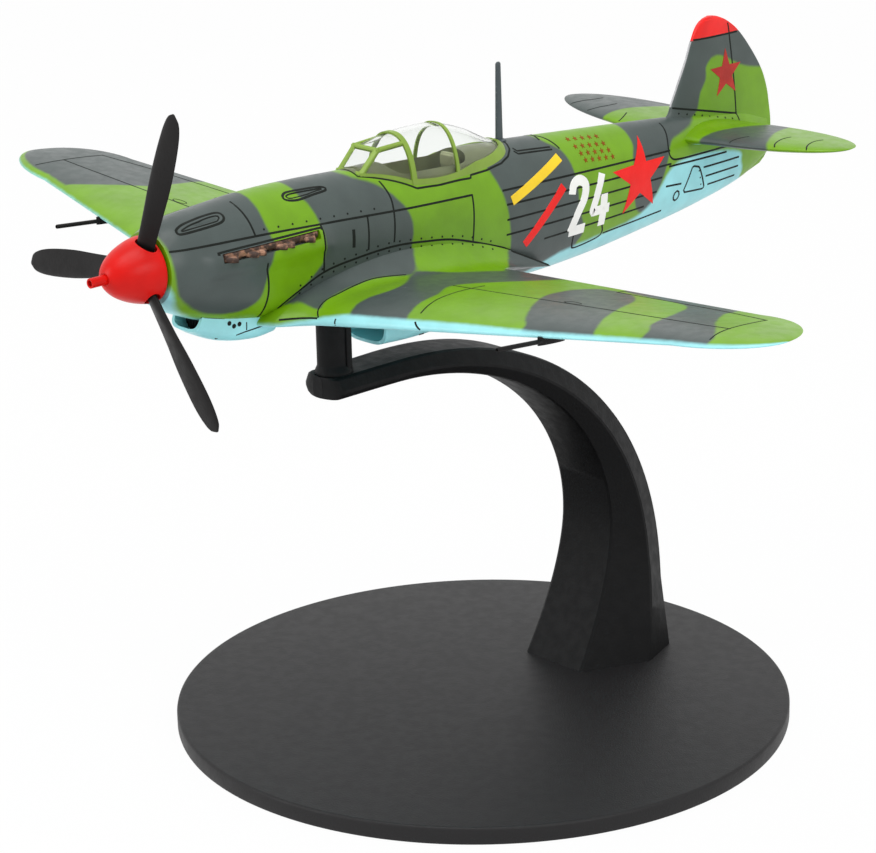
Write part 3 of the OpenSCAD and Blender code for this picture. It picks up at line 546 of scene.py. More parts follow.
# %% Patches on the fuselage and fin
GREY_NOSE = [(7.2, 9), (14, 9.5), (20.6, 9), (20.8, 6), (20.8, 3.5), (21.2, 1), (20.5, -1), (19.9, -3),
             (19.2, -5.2), (17.6, -6.4), (15, -6.6), (12, -6), (9.4, -4.5), (7.6, -2.6), (7.0, 0), (6.8, 4)]
GREY_MIDDLE = [(27.3, 9), (27.6, 5.5), (28.3, 4), (28.9, 1.5), (29, -2.2), (27.8, -3.7), (25, -5.8),
               (23, -7.6), (23.6, -9.6), (41, -9.6), (42.8, -6), (43.4, -4), (43.8, -2), (43.6, 0),
               (42.4, 2), (40, 4.3), (36, 6.2), (33.5, 9)]
GREY_AFT = [(56.5, 9), (58, 4.5), (59.5, 1), (60.5, -2), (61.1, -5), (61.4, -7), (61.6, -10), (61.4, -13.5),
            (74, -13.5), (75, -10.4), (76, -8.5), (74.6, -5), (74, -1), (73, 2.5), (70.4, 4.5), (67, 9)]
GREY_TAIL = [(86, 9), (86.4, 4), (86.7, 1), (86, -0.8), (86, -5), (86.6, -7.4), (88, -8.7), (90, -8),
             (92, -5), (93.5, -2), (94.6, -0.2), (97, 0.5), (100, 1.1), (102.4, 2.4), (103.2, 4.6),
             (104.4, 6.4), (104.7, 8.3), (106.4, 9.4), (108.8, 8.9), (112.5, 7.2), (116.5, 6.3),
             (123, 5.6), (123, 18), (88, 18)]
BLUE_BELLY = [(5, -1.4), (6.5, -1.8), (8, -4.6), (10, -6.1), (11.8, -6.9), (16, -8), (20, -8.6), (30, -9.5),
              (45, -11), (60, -13.2), (66.5, -12.6), (72, -10.9), (80, -10.1), (86, -9.4), (89.4, -8.2),
              (91.8, -5.8), (93.8, -3.8), (97, -2.9), (104, -3.2), (110.3, -4.5), (111.0, -6),
              (111.6, -8.5), (109.5, -16), (5, -22)]
RED_TIP_W = 12.1
UNDER_GLASS = [(-3, 38.8), (1.9, 38.8), (4.0, 45.8), (4.2, 49.6), (4.0, 53.4), (3.75, 57.6), (3.3, 61),
               (2.2, 63.6), (-3, 63.8)]
DECK_W = 2.6                         # the dull deck under the glazing starts at this height


def paint_body(piece):
    x, u, w = in_aircraft(piece)
    store(piece, grey=covered(u, w, (GREY_NOSE, GREY_MIDDLE, GREY_AFT, GREY_TAIL)),
          blue=covered(u, w, [BLUE_BELLY], 4), red=w - RED_TIP_W,
          deck=np.where(w > DECK_W, covered(np.abs(x), u, [UNDER_GLASS], 4), -1))


print("patches drawn for the body")

# %% [markdown]
# ## Fuselage halves
# Two moulded half shells meet on the centreline. Ahead of the windscreen lie two teardrop gun
# troughs, a low fairing surrounds each exhaust slot, and the cockpit is open under the glazing. The
# rules push the skin in or out by a fraction of a millimetre before the openings are cut.

# %% Fuselage skin
TROUGH_FRONT = [(9.5, 4.4), (11.3, 4.46), (13.7, 4.58), (14.9, 4.7), (15.3, 4.92), (15.0, 5.12),
                (13.4, 5.06), (10.8, 4.74)]
TROUGH_REAR = [(25.75, 5.42), (26.7, 5.54), (29.4, 5.44), (31.2, 5.34), (31.5, 5.26), (29.9, 5.2),
               (27.4, 5.1), (26.2, 5.16)]
RIM_FRONT = [(8.9, 4.46), (9.15, 4.14), (11.3, 4.2), (13.7, 4.33), (15.2, 4.5), (15.85, 4.9), (15.5, 5.36),
             (13.4, 5.32), (10.6, 5.02), (9.4, 4.74)]
RIM_REAR = [(25.25, 5.45), (25.9, 5.74), (27.1, 5.76), (28.4, 5.7), (30.4, 5.6), (31.7, 5.45), (32.15, 5.23),
            (31.7, 5.06), (29.6, 4.98), (27.5, 4.86), (26.3, 4.93), (25.4, 5.16)]
FAIRING_START, FAIRING_END = 10.2, 31.5         # the low fairing round an exhaust slot
FAIRING_HALF, FAIRING_RISE = 1.55, 0.42
TROUGH_DEPTH, TROUGH_LIP = 0.3, 0.2


def body_surface(s, t):
    u = COWL_U + s * BODY_LEN
    angle = math.tau * t
    up = np.sin(angle) > 0
    power = 2 / np.where(up, 2, along_body(u, 5))
    x = half_width(u) * signed_power(np.cos(angle), power)
    rise = np.where(up, crown(u) - waist(u), belly(u) + waist(u))
    w = waist(u) + rise * signed_power(np.sin(angle), power)
    # the low fairing round the exhaust slot
    along = np.clip((u - FAIRING_START) / 2.2, 0, 1) * np.clip((FAIRING_END - u) / 3, 0, 1)
    over = np.exp(-(w / FAIRING_HALF) ** 6)
    x = x + np.sign(x) * FAIRING_RISE * along ** 2 * (3 - 2 * along) * over
    # gun troughs, pressed into the upper decking
    for outline in (TROUGH_FRONT, TROUGH_REAR):
        inside = depth_inside(u, w, curve_through(outline, steps=5))
        press = TROUGH_DEPTH * np.clip(inside / TROUGH_LIP, 0, 1)
        x, w = x * (1 - press / 6), w - press * 0.6
    return x, u, w


SCREEN_U, ARCH_U, HOOD_END_U = 38.4, 45.8, 53.4
FLOOR_W = -3.4
TUB_FRONT, TUB_BACK, TUB_HALF = SCREEN_U + 5, HOOD_END_U + 3.2, 3.1
SLOT_U, SLOT_LEN, SLOT_W, SLOT_X = 13.35, 15.0, 0.55, 4.9
SLOT_LOW, SLOT_HIGH = SLOT_W - 0.35, SLOT_W + 0.75


def upright_edges(edge):
    a, b = edge.verts
    return abs(a.co.z - b.co.z) > abs(a.co.x - b.co.x) + abs(a.co.y - b.co.y)


skin = wrapped(250, 112, body_surface)
opening = block((-TUB_HALF, TUB_FRONT, FLOOR_W), (TUB_HALF, TUB_BACK, 20), 1.9, upright_edges, 6)
skin = carved(skin, opening)
for side in (-1, 1):
    skin = carved(skin, side_block(side, SLOT_X, 8, (SLOT_U, SLOT_LOW), (SLOT_U + SLOT_LEN, SLOT_HIGH), 0.12))
for side, name in SIDES:
    half = skin.copy()
    bmesh.ops.bisect_plane(half, geom=half.verts[:] + half.edges[:] + half.faces[:], plane_co=(0, 0, 0),
                           plane_no=(side, 0, 0), clear_inner=True)
    bmesh.ops.holes_fill(half, edges=[e for e in half.edges if e.is_boundary], sides=0)
    shell = made(half, f"fuselage_shell_{name}", CAMOUFLAGE, stands_for=(f"fuselage_{name}",))
    paint_body(shell)
body_tree = BVHTree.FromBMesh(skin)

# %% [markdown]
# ## Fin and rudder
# The fin is moulded with the fuselage: a thin symmetrical section that shrinks towards a rounded
# top. Rings of that section climb from the sternpost to the tip.

# %% Fin
FIN_H, FIN_THICK = 15.0, 0.075
FIN_LINES = [                        # share of the height, leading and trailing edge from the sternpost
    (-0.57, -7.0, -4.4), (-0.52, -7.0, -1.6), (-0.42, -7.0, 0.2), (-0.28, -7.0, 0.9), (-0.12, -12, 1.0),
    (0.05, -21.2, 0.6), (0.20, -20.6, 0.1), (0.39, -19.2, -1.1), (0.62, -17.4, -3.6), (0.82, -16.1, -6.4),
    (0.93, -15.1, -8.8), (0.985, -13.8, -10.8), (1.00, -12.6, -11.8)]


def foil(share, thick):
    """Half thickness of a symmetrical section at a share of its chord."""
    return 5 * thick * (0.2969 * np.sqrt(share) - 0.126 * share - 0.3516 * share ** 2
                        + 0.2843 * share ** 3 - 0.1015 * share ** 4)


def around_section(t):
    """Share of the chord and side, 1 on one face and -1 on the other, once round a section."""
    return (1 + np.cos(math.tau * t)) / 2, np.sign(np.round(np.sin(math.tau * t), 9))


def fin_surface(s, t):
    share, side = around_section(t)
    climb = -0.57 + 1.57 * np.sin(s * math.pi / 2) ** 0.8
    lead = STERN_U + smooth(FIN_LINES, climb, 1)
    chord = STERN_U + smooth(FIN_LINES, climb, 2) - lead
    thick = np.maximum(FIN_THICK, 0.9 / chord)
    half = side * chord * foil(share, thick) * np.where(climb > 0.97, 0.8, 1)
    return half, lead + share * chord, climb * FIN_H


fin_mesh = wrapped(90, 64, fin_surface)
fin_tree = BVHTree.FromBMesh(fin_mesh)
fin = made(fin_mesh, "fin_and_rudder", CAMOUFLAGE)
paint_body(fin)

# %% [markdown]
# ## Wing
# One moulding from tip to tip. A fillet lifts its section towards the fuselage and lets the
# trailing end droop along the belly; the tips are half ellipses. The light blue of the underside
# creeps round the leading edge.

# %% Wing
SPAN, ROOT_CHORD, TIP_CHORD, WING_U, TIP_LEN = 136.6, 31.8, 15.4, 24.0, 11.2
SWEEP, DIHEDRAL = math.radians(12), math.radians(5.75)
ROOT_X, SKIN_SIDE, TIP_X, CHORD_W = 10.0, 5.5, SPAN / 2 - TIP_LEN, -9.6
RISE, FRONT, BACK, DROOP = 3.4, 2.4, 12.0, 2.6  # what the fillet adds at the fuselage
ROOT_THICK, TIP_THICK = 0.155, 0.11  # thickness as a share of the chord
FLATTER = 0.45                       # the lower side of the section is nearly flat
DROOP_SHARE = 0.8                    # aft of this share the root's drooping end is painted all over
RIM_X, RIM_REACH = (6, 9, 13, 30, 40, 60), (0.1, 0.5, 1.4, 1.1, 0.6, 0.5)  # blue over the port edge
STARBOARD_REACH = 0.15               # blue over the starboard edge
TIP_RIM_X, TIP_RIM = 45, 1.1         # beyond this the starboard grey leaves a green rim this wide


def wing_lead(x):
    return WING_U + (np.minimum(x, TIP_X) - ROOT_X) * math.tan(SWEEP)


def wing_section(x):
    """Leading edge, chord, height, thickness and fillet share at a distance x from the centre."""
    fillet = np.clip((ROOT_X - x) / (ROOT_X - SKIN_SIDE), 0, 1) ** 2
    tip = np.sqrt(np.clip(1 - (np.maximum(x - TIP_X, 0) / TIP_LEN) ** 2, 0, 1))
    full = ROOT_CHORD + (TIP_CHORD - ROOT_CHORD) * (np.minimum(x, TIP_X) - ROOT_X) / (TIP_X - ROOT_X)
    chord = full * tip + fillet * (FRONT + BACK)
    lead = wing_lead(x) + full * 0.42 * (1 - tip) - fillet * FRONT
    thick = ROOT_THICK + (TIP_THICK - ROOT_THICK) * np.clip((x - ROOT_X) / (SPAN / 2 - ROOT_X), 0, 1)
    return lead, chord, CHORD_W + x * math.tan(DIHEDRAL), thick * (1 - 0.4 * fillet), fillet


def wing_surface(s, t):
    half = np.concatenate([[0, 3], np.linspace(SKIN_SIDE, ROOT_X, 16), np.linspace(ROOT_X, TIP_X, 72)[1:],
                           TIP_X + TIP_LEN * np.sin(np.linspace(0, math.pi / 2, 22))[1:]])
    stations = np.concatenate([-half[:0:-1], half])
    x = np.interp(s, np.linspace(0, 1, len(stations)), stations)
    lead, chord, height, thick, fillet = wing_section(np.abs(x))
    share, side = around_section(t)
    lift = np.where((side > 0) & (share < 1), RISE * fillet * np.sin(math.pi * share), 0)
    return (x, lead + share * chord,
            height + side * np.where(side > 0, 1, FLATTER) * chord * foil(share, thick) + lift
            - DROOP * fillet * share ** 4)


WING_ROWS = 2 * (1 + 16 + 71 + 21)
GREY_PORT = [
    [(61.6, 30), (61.6, 35.4), (60.4, 37.5), (58.9, 39.4), (56.7, 42), (54, 46.6), (53.6, 49), (51, 54),
     (36, 55), (33.8, 52), (36, 50.9), (40.4, 50), (45.5, 48.8), (48, 47), (49.6, 43.5), (50.4, 41),
     (51.4, 37.1), (52.8, 35), (54, 30), (58, 27)],
    [(47.6, 30), (46.6, 33), (45, 36), (42.6, 41.5), (40.6, 46), (38, 49), (35.4, 50.4), (31, 50.8),
     (29.4, 48), (29.6, 45), (30.3, 41.7), (33, 37), (36, 32.7), (37.6, 31), (38.5, 28)],
    [(21.9, 25), (21.2, 28.4), (20.5, 29.9), (19.8, 32.3), (19.2, 35), (17.8, 37.2), (17, 39), (17.1, 40.6),
     (17.8, 42.5), (18.6, 44.3), (19.6, 46.7), (20.6, 49), (21.4, 53), (21.6, 58), (14, 58.5), (11.8, 54),
     (10.4, 49), (9, 45), (8.3, 41.7), (9.3, 39.6), (10.8, 37.8), (12.1, 35.6), (12.8, 32.5), (12.6, 30),
     (12.7, 28), (13.2, 26.6), (13.9, 25.2), (14.2, 23)],
    [(-2, 62), (4.3, 61.5), (6.3, 59.8), (8, 58.2), (9.5, 56.6), (11.6, 54), (14, 57), (9.5, 70), (-2, 70)],
    [(-2, 22.5), (5, 23.4), (5.8, 24.3), (6.9, 24.7), (8.9, 25.1), (8.3, 26.6), (8.2, 29), (8.1, 32),
     (8, 34.6), (8.3, 37.4), (8.8, 40), (8.3, 41.8), (6.7, 43), (5.4, 44), (4, 45), (-2, 45)]]
GREY_STARBOARD = [
    [(52.4, 29), (52.3, 33.2), (49, 36), (46, 39.2), (44.1, 41.9), (43.6, 45.8), (43.9, 49.1), (45, 54),
     (62, 52), (72, 45), (72, 30), (56, 26)],
    [(21.5, 22), (21, 27), (20, 33), (18, 39), (14, 46), (11, 53), (19, 55), (24, 49), (25.7, 42.7),
     (26.6, 38.8), (24.6, 34), (23, 29.7), (23, 24)],
    [(-2, 57.5), (9, 57.5), (9.5, 70), (-2, 70)]]


def paint_wing(piece):
    x, u, w = in_aircraft(piece)
    port, starboard = covered(x, u, GREY_PORT, 5), covered(-x, u, GREY_STARBOARD, 5)
    lead, chord, height, thick, fillet = wing_section(np.abs(x))
    share = np.clip((u - lead) / np.maximum(chord, 0.1), 0, 1)
    thick_here = chord * foil(share, thick)
    above = w - height + DROOP * fillet * share ** 4 > 0
    above = above | ((share > DROOP_SHARE) & (np.abs(x) < ROOT_X))
    reach = np.hypot(share * chord, thick_here)
    rim = np.where(x < 0, STARBOARD_REACH, np.interp(x, RIM_X, RIM_REACH))
    starboard = np.where(x < -TIP_RIM_X, np.minimum(starboard, reach - TIP_RIM), starboard)
    nowhere = np.full(len(x), -1.0)
    store(piece, grey=np.where(x > 0, port, starboard), blue=np.where(above, rim - reach, rim + reach),
          red=nowhere, deck=nowhere)


wing_mesh = wrapped(WING_ROWS, 80, wing_surface)
wing_tree = BVHTree.FromBMesh(wing_mesh)
wing = made(wing_mesh, "wing_skin", CAMOUFLAGE, stands_for=("wing",))
paint_wing(wing)

# %% [markdown]
# ## Tailplanes
# Two thin halves plug into the fin's root. Their outline is a long half ellipse with a slightly
# swept leading edge.

# %% Tailplanes
TAIL_SPAN, TAIL_CHORD, TAIL_W, TAIL_LEAD = 51.4, 14.6, -0.65, STERN_U - 20.9
TAIL_RIM = 1.6                       # how far the sprayed edge lies round the leading edge
TAIL_TIP, TAIL_SWEEP, TAIL_SLOPE = TAIL_SPAN / 2 * 0.27, 0.14, math.tan(math.radians(2.5))
GREY_TAILPLANE = [(4.5, 92), (5.2, 98), (5.4, 103), (6.4, 112), (9, 112.6), (12, 106), (15.4, 100),
                  (17.5, 97), (14, 93)]
GREY_TAILPLANE_OTHER = [(12.6, 92), (13.2, 98), (13, 103), (12, 113), (26, 113), (27, 96), (20, 92)]


def tail_section(x):
    over = np.maximum(x - TAIL_TIP, 0) / (TAIL_SPAN / 2 - TAIL_TIP)
    tip = np.sqrt(np.clip(1 - over ** 2, 0, 1))
    full = TAIL_CHORD - TAIL_SWEEP * np.minimum(x, TAIL_TIP)
    return TAIL_LEAD + TAIL_SWEEP * np.minimum(x, TAIL_TIP) + full * 0.5 * (1 - tip), full * tip


def tail_surface(s, t):
    x = 0.2 + (TAIL_SPAN / 2 - 0.2) * np.sin(s * math.pi / 2)
    lead, chord = tail_section(x)
    share, side = around_section(t)
    root = np.clip(1 - (x - 2.6) / 2.2, 0, 1) ** 2
    half = chord * foil(share, 0.12) + 0.7 * root * np.sin(math.pi * share)
    return x, lead + share * chord, TAIL_W + x * TAIL_SLOPE + side * half


tail_trees = {}
for side, name, area in ((1, "left", GREY_TAILPLANE), (-1, "right", GREY_TAILPLANE_OTHER)):
    blade = wrapped(70, 60, tail_surface)
    if side < 0:
        bmesh.ops.scale(blade, vec=(-1, 1, 1), verts=blade.verts)
        bmesh.ops.recalc_face_normals(blade, faces=blade.faces)
    tail_trees[side] = BVHTree.FromBMesh(blade)
    piece = made(blade, f"tailplane_skin_{name}", CAMOUFLAGE, stands_for=(f"tailplane_{name}",))
    x, u, w = in_aircraft(piece)
    lead, chord = tail_section(np.abs(x))
    plane = TAIL_W + np.abs(x) * TAIL_SLOPE
    reach = np.hypot(u - lead, w - plane)
    nowhere = np.full(len(x), -1.0)
    store(piece, grey=covered(np.abs(x), u, [area]), red=nowhere, deck=nowhere,
          blue=np.where(w > plane, -TAIL_RIM - reach, reach - TAIL_RIM))

# %% [markdown]
# ## Propeller and spinner
# Three satin blades with a coarse pitch at the root and almost flat tips stick out through round
# notches of a red spinner. A short gun tube, drilled at its mouth, stands at the spinner's tip.

# %% Propeller blades and hub
PROP_R, BLADE_CHORD, BLADE_PHASE, HUB_U = 21.3, 3.4, 22, 5.2
BLADE_LINES = [                      # share of the radius, chord, blade angle, thickness
    (0.07, 0.66, 15, 0.40), (0.17, 0.72, 14, 0.35), (0.28, 0.78, 12, 0.28), (0.42, 0.88, 9, 0.20),
    (0.56, 1.00, 5, 0.16), (0.70, 1.03, 2, 0.14), (0.82, 0.98, 0, 0.13), (0.91, 0.83, 0, 0.13),
    (0.97, 0.56, 0, 0.13), (1.00, 0.10, 0, 0.16)]


def blade_surface(s, t):
    place = 0.07 + 0.93 * np.sin(s * math.pi / 2) ** 1.1
    chord = BLADE_CHORD * smooth(BLADE_LINES, place, 1)
    pitch = np.radians(smooth(BLADE_LINES, place, 2))
    thick = smooth(BLADE_LINES, place, 3)
    share, side = around_section(t)
    a, b = share - 0.42, side * foil(share, thick)
    return (chord * (a * np.cos(pitch) - b * np.sin(pitch)),
            chord * (a * np.sin(pitch) + b * np.cos(pitch)), place * PROP_R)


def on_each_blade(make):
    parts = []
    for i in range(3):
        part = make()
        phase = Matrix.Rotation(math.radians(BLADE_PHASE - 120 * i), 4, "Y")
        part.transform(Matrix.Translation((0, HUB_U, 0)) @ phase)
        parts.append(part)
    return joined(parts)


def oval_peg(half, start, end, sides):
    """A flattened rod that lies along the blade's root."""
    rod = peg(half, (0, 0, start), (0, 0, end), sides)
    rod.transform(Matrix.Rotation(math.radians(14), 4, "Z") @ Matrix.Translation((0.2, 0, 0))
                  @ Matrix.Diagonal((1, 0.6, 1, 1)))
    return rod


blades = on_each_blade(lambda: wrapped(72, 40, blade_surface))
hub = turned([(0, 4.0), (1.7, 4.0), (1.9, 4.2), (1.9, 5.9), (0, 5.9)], 48)
cuffs = on_each_blade(lambda: oval_peg(1.3, 1.2, 3.3, 32))
made(joined([blades, hub, cuffs]), "propeller_blades", BLADE_BLACK, "propeller", ("propeller",))

# %% Spinner
SPINNER_R, SPINNER_LEN, WALL = 4.05, 6.0, 0.55
angles = [math.pi / 2 * k / 28 for k in range(3, 29)]
ogive = [(1 - max(math.cos(a), 0) ** 1.45) ** 0.47 for a in angles]
outer = [(SPINNER_R * r, SPINNER_LEN * (1 - math.cos(a))) for a, r in zip(angles, ogive)]
inner = [((SPINNER_R - WALL) * r, SPINNER_LEN - (SPINNER_LEN - WALL) * math.cos(a))
         for a, r in reversed(list(zip(angles, ogive))[4:])]
tube = [(0, -1), (0.36, -1), (0.36, -1.95), (0.41, -2), (0.55, -2), (0.6, -1.95), (0.6, 0.2)]
cowl = [p for p in outer if p[0] > 0.7] + [(SPINNER_R - WALL, SPINNER_LEN)] + inner + [(0, 1.7)]
cone = carved(turned(tube + cowl, 128), on_each_blade(lambda: oval_peg(1.5, 1.5, 6, 40)))
made(cone, "spinner_cone", SPINNER_RED, "propeller", ("spinner",), crease=32)
dress("spinner_backplate", SPINNER_RED)
dress("propeller_shaft", STEEL_AND_EDGE_HIGHLIGHT)
dress("shaft_bush", BRASS)

# %% [markdown]
# ## Stand
# A thin round base, a six-sided arm that rises from a flared foot and arches forward, and a short
# oval post that plugs into the belly. All are moulded in black. The arm's section narrows from
# the foot to the tip, and its edges are slightly rounded.

# %% Stand sizes from the frame
base_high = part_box("stand_base")[1]
arm_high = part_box("stand_arm")[1]
base_r, base_t = base_high.x / MM, base_high.z / MM
foot_back, arm_top, foot_half = arm_high.y / MM, arm_high.z / MM, arm_high.x / MM
post_y = foot_back - 55.0
print("base radius", round(base_r, 2), "arm top", round(arm_top, 2), "foot half", round(foot_half, 2))

# %% Base
profile = [(0, 0), (base_r - 0.25, 0), (base_r - 0.05, 0.1), (base_r, 0.3), (base_r, base_t - 0.42),
           (base_r - 0.05, base_t - 0.2), (base_r - 0.2, base_t - 0.05), (base_r - 0.42, base_t), (0, base_t)]
disc = turned(profile, 200)
disc.transform(Matrix.Rotation(math.radians(90), 4, "X"))
bmesh.ops.recalc_face_normals(disc, faces=disc.faces)
made(disc, "base_disc", BASE_BLACK, "stand", ("stand_base",), crease=60, carry=TO_STAND)
dress("base_screws", STEEL_AND_EDGE_HIGHLIGHT)
dress("wing_screws", STEEL_AND_EDGE_HIGHLIGHT)

# %% Arm
ARM_LINES = [                        # place, half-widths of inner face, widest edge, outer face; edge's place
    (0.0, 0.54, 1.00, 0.76, 0.58), (0.3, 0.47, 0.72, 0.55, 0.50), (0.6, 0.41, 0.54, 0.40, 0.42),
    (0.85, 0.32, 0.40, 0.29, 0.38), (1.0, 0.30, 0.37, 0.28, 0.38)]
ARM_H = arm_top - base_t
TIP_T, LEG, LEVEL = 2.8, 0.25, 0.85
bend_y = post_y + 8
outer_bend, inner_bend = base_t + 0.19 * ARM_H, base_t + 0.38 * ARM_H
inner_back, inner_foot = foot_back - 9.2, foot_back - 16.2
TIP_ROUND, TIP_NARROW, TIP_AHEAD = 1.3, 0.26, 1.5
INNER_FLARE, BEND_POWER = 1.7, 0.91
CORNER_CUT, CORNER_SHARE = 0.28, 0.3            # how far from a corner its rounding starts


def arm_edges(t):
    """Outer and inner edge of the side view, from the foot at 0 to the tip at 1."""
    if t < LEG:
        s = 1 - t / LEG
        inner_y = inner_back - (inner_back - inner_foot) * s ** INNER_FLARE
        return ((foot_back, outer_bend + (base_t - outer_bend) * s),
                (inner_y, inner_bend + (base_t - inner_bend) * s))
    if t < LEVEL:
        a = math.pi / 2 * (t - LEG) / (LEVEL - LEG)
        c, d = max(math.cos(a), 0) ** BEND_POWER, math.sin(a) ** BEND_POWER
        return ((bend_y + (foot_back - bend_y) * c, outer_bend + (arm_top - outer_bend) * d),
                (bend_y + (inner_back - bend_y) * math.cos(a),
                 inner_bend + (arm_top - TIP_T - inner_bend) * math.sin(a)))
    y = bend_y + (post_y - TIP_AHEAD - bend_y) * (t - LEVEL) / (1 - LEVEL)
    return (y, arm_top), (y, arm_top - TIP_T)


ARM_STEPS = [k / 90 for k in range(91)] + [1 + k / 8 for k in range(1, 9)]


def arm_surface(s, t):
    rings = []
    for step in ARM_STEPS:
        place, ahead = min(step, 1), max(step - 1, 0) * math.pi / 2
        narrow = max(math.cos(ahead), TIP_NARROW)
        outer_edge, inner_edge = (np.array(e) for e in arm_edges(place))
        w = [float(smooth(ARM_LINES, place, c)) for c in (1, 2, 3, 4)]
        mid = inner_edge + (outer_edge - inner_edge) * w[3]
        half = foot_half * narrow
        ring = [(-w[1], mid), (-w[2], outer_edge), (w[2], outer_edge), (w[1], mid), (w[0], inner_edge),
                (-w[0], inner_edge)]
        corners = np.array([(half * q, e[0] - TIP_ROUND * math.sin(ahead), e[1]) for q, e in ring])
        # each corner is rounded: two points near it stand for one
        soft = []
        for k in range(6):
            before, here, after = corners[k - 1], corners[k], corners[(k + 1) % 6]
            for toward in (before, after):
                gap = np.linalg.norm(toward - here)
                soft.append(here + (toward - here) * min(CORNER_CUT / gap, CORNER_SHARE))
        rings.append(soft)
    rings = np.array(rings)
    i = np.rint(s * (len(ARM_STEPS) - 1)).astype(int)
    k = np.rint(t * 12).astype(int) % 12
    return rings[i, k, 0], rings[i, k, 1], rings[i, k, 2]


arm = wrapped(len(ARM_STEPS) - 1, 12, arm_surface)
made(arm, "arched_arm", STAND_BLACK, "stand", ("stand_arm",), crease=24, carry=TO_STAND)

# %% Post
POST_L, POST_W, POST_LEN, PEG_LEN = 4.6, 3.6, 7.8, 5.0


def post_surface(s, t):
    height = np.interp(s, (0, 0.04, 0.1, 0.16, 0.22, 0.3, 0.97, 1),
                       (0.02, 0.02, 0.3, 0.62, 0.8, 1.1, 12.6, 12.8))
    flare = np.interp(height, (0, 0.3, 0.8, 1.1, 20), (0.55, 0.5, 0.2, 0, 0))
    flare = flare - 0.2 * np.clip((height - 12.6) / 0.2, 0, 1)
    angle = math.tau * t
    x = (POST_W / 2 + flare) * np.cos(angle)
    y = (POST_L / 2 + flare * 0.4) * np.sin(angle)
    return x, post_y + y, arm_top + height


post = wrapped(44, 64, post_surface)
rib = block((-0.45, 0, 0), (POST_W / 2 + 0.15, 0.9, POST_LEN + PEG_LEN - 0.2), 0.12)
bmesh.ops.translate(rib, vec=(0, post_y + POST_L * 0.12, arm_top + 0.03), verts=rib.verts)
made(joined([post, rib]), "oval_post", STAND_BLACK, "stand", ("stand_post",), carry=TO_STAND)

# %% [markdown]
# ## Canopy
# The glazing is one clear moulding: a flat front pane between two leaning pillars, quarter panes
# and a top sheet that run back to the front arch, a sliding hood and a rear part that sinks into
# the spine. Its painted bars stand a little above the clear skin. Each surface is a rule with two
# directions, so glass and paint follow the same curve.

# %% Surfaces of the glazing
HOOD_HALF, HOOD_H, REAR_LEN = 4.2, 9.3, 10.6
HOOD_FOOT, HOOD_POWER = 2.2, 0.85    # how deep the hood's curve starts under the skin, how square it is
GLASS_T, GLASS_SINK, FRAME_T, BAR_SINK = 0.4, 0.15, 0.17, 0.12
CORNER = 0.28                        # where the quarter pane meets the top sheet, as a share
SCREEN_SILL, SCREEN_CORNER = 0.12, math.radians(60.5)
GLASS_END_U = HOOD_END_U + REAR_LEN
HOOD_LINES = [                       # place aft of the front arch, half-width at the sill, height
    (0, HOOD_HALF, HOOD_H), (3.8, HOOD_HALF + 0.15, HOOD_H + 0.15), (7.6, HOOD_HALF, HOOD_H - 0.05),
    (7.6 + 0.4 * REAR_LEN, HOOD_HALF - 0.25, HOOD_H - 1.4),
    (7.6 + 0.75 * REAR_LEN, HOOD_HALF - 0.6, HOOD_H - 3.2),
    (7.6 + 0.93 * REAR_LEN, HOOD_HALF - 1.1, float(crown(GLASS_END_U)) + 0.4),
    (7.6 + REAR_LEN, 2.3, float(crown(GLASS_END_U)) + 0.12)]
PANE_HALF, PANE_TOP_HALF, PANE_LEN, PANE_RISE = 2.0, 2.1, 3.0, 2.6
PANE_FOOT = float(skin_height(PANE_HALF, SCREEN_U)) + 0.1


def hood(u, a, grow=0.0):
    """A spot on the hood: a is the angle up from the port sill, grow the height above the clear skin."""
    half = smooth(HOOD_LINES, u - ARCH_U, 1) + grow
    top = smooth(HOOD_LINES, u - ARCH_U, 2) + grow
    foot = skin_height(half, u) - HOOD_FOOT
    x = half * signed_power(np.cos(a), HOOD_POWER)
    return x, u + 0 * a, foot + (top - foot) * np.maximum(np.sin(a), 0) ** HOOD_POWER


def screen(s, t, grow=0.0):
    """A spot on quarter panes and top sheet: s from the pillars to the arch, t from port to starboard."""
    stops = (0, CORNER, 1 - CORNER, 1)
    up = np.interp(t, stops, (0, 1, 1, 0))
    side = np.interp(t, stops, (1, 1, -1, -1))
    half = PANE_HALF + (PANE_TOP_HALF - PANE_HALF) * up + grow
    near = (half * side, SCREEN_U + PANE_LEN * up - grow * 0.6,
            PANE_FOOT + PANE_RISE * up + grow * 0.6 * up)
    angle = np.interp(t, stops, (SCREEN_SILL, SCREEN_CORNER, math.pi - SCREEN_CORNER, math.pi - SCREEN_SILL))
    far = hood(np.full(np.shape(angle), ARCH_U), angle, grow)
    return tuple(a + (b - a) * s for a, b in zip(near, far))


def pane(s, t):
    """A spot on the flat front pane: s from its foot to its top, t from port to starboard."""
    half = PANE_HALF + (PANE_TOP_HALF - PANE_HALF) * s
    return half * (1 - 2 * t), SCREEN_U + PANE_LEN * s, PANE_FOOT - 0.4 + (PANE_RISE + 0.4) * s


def clearance(spot):
    x, u, w = spot
    return w - skin_height(np.clip(x, -5, 5), u)


def reach(surface, s, low, high, height):
    """Where along t a surface stands that high above the skin, between low, near the sill, and high."""
    a, b = np.full(len(s), float(low)), np.full(len(s), float(high))
    for _ in range(30):
        middle = (a + b) / 2
        below = clearance(surface(s, middle)) < height
        a, b = np.where(below, middle, a), np.where(below, b, middle)
    return (a + b) / 2


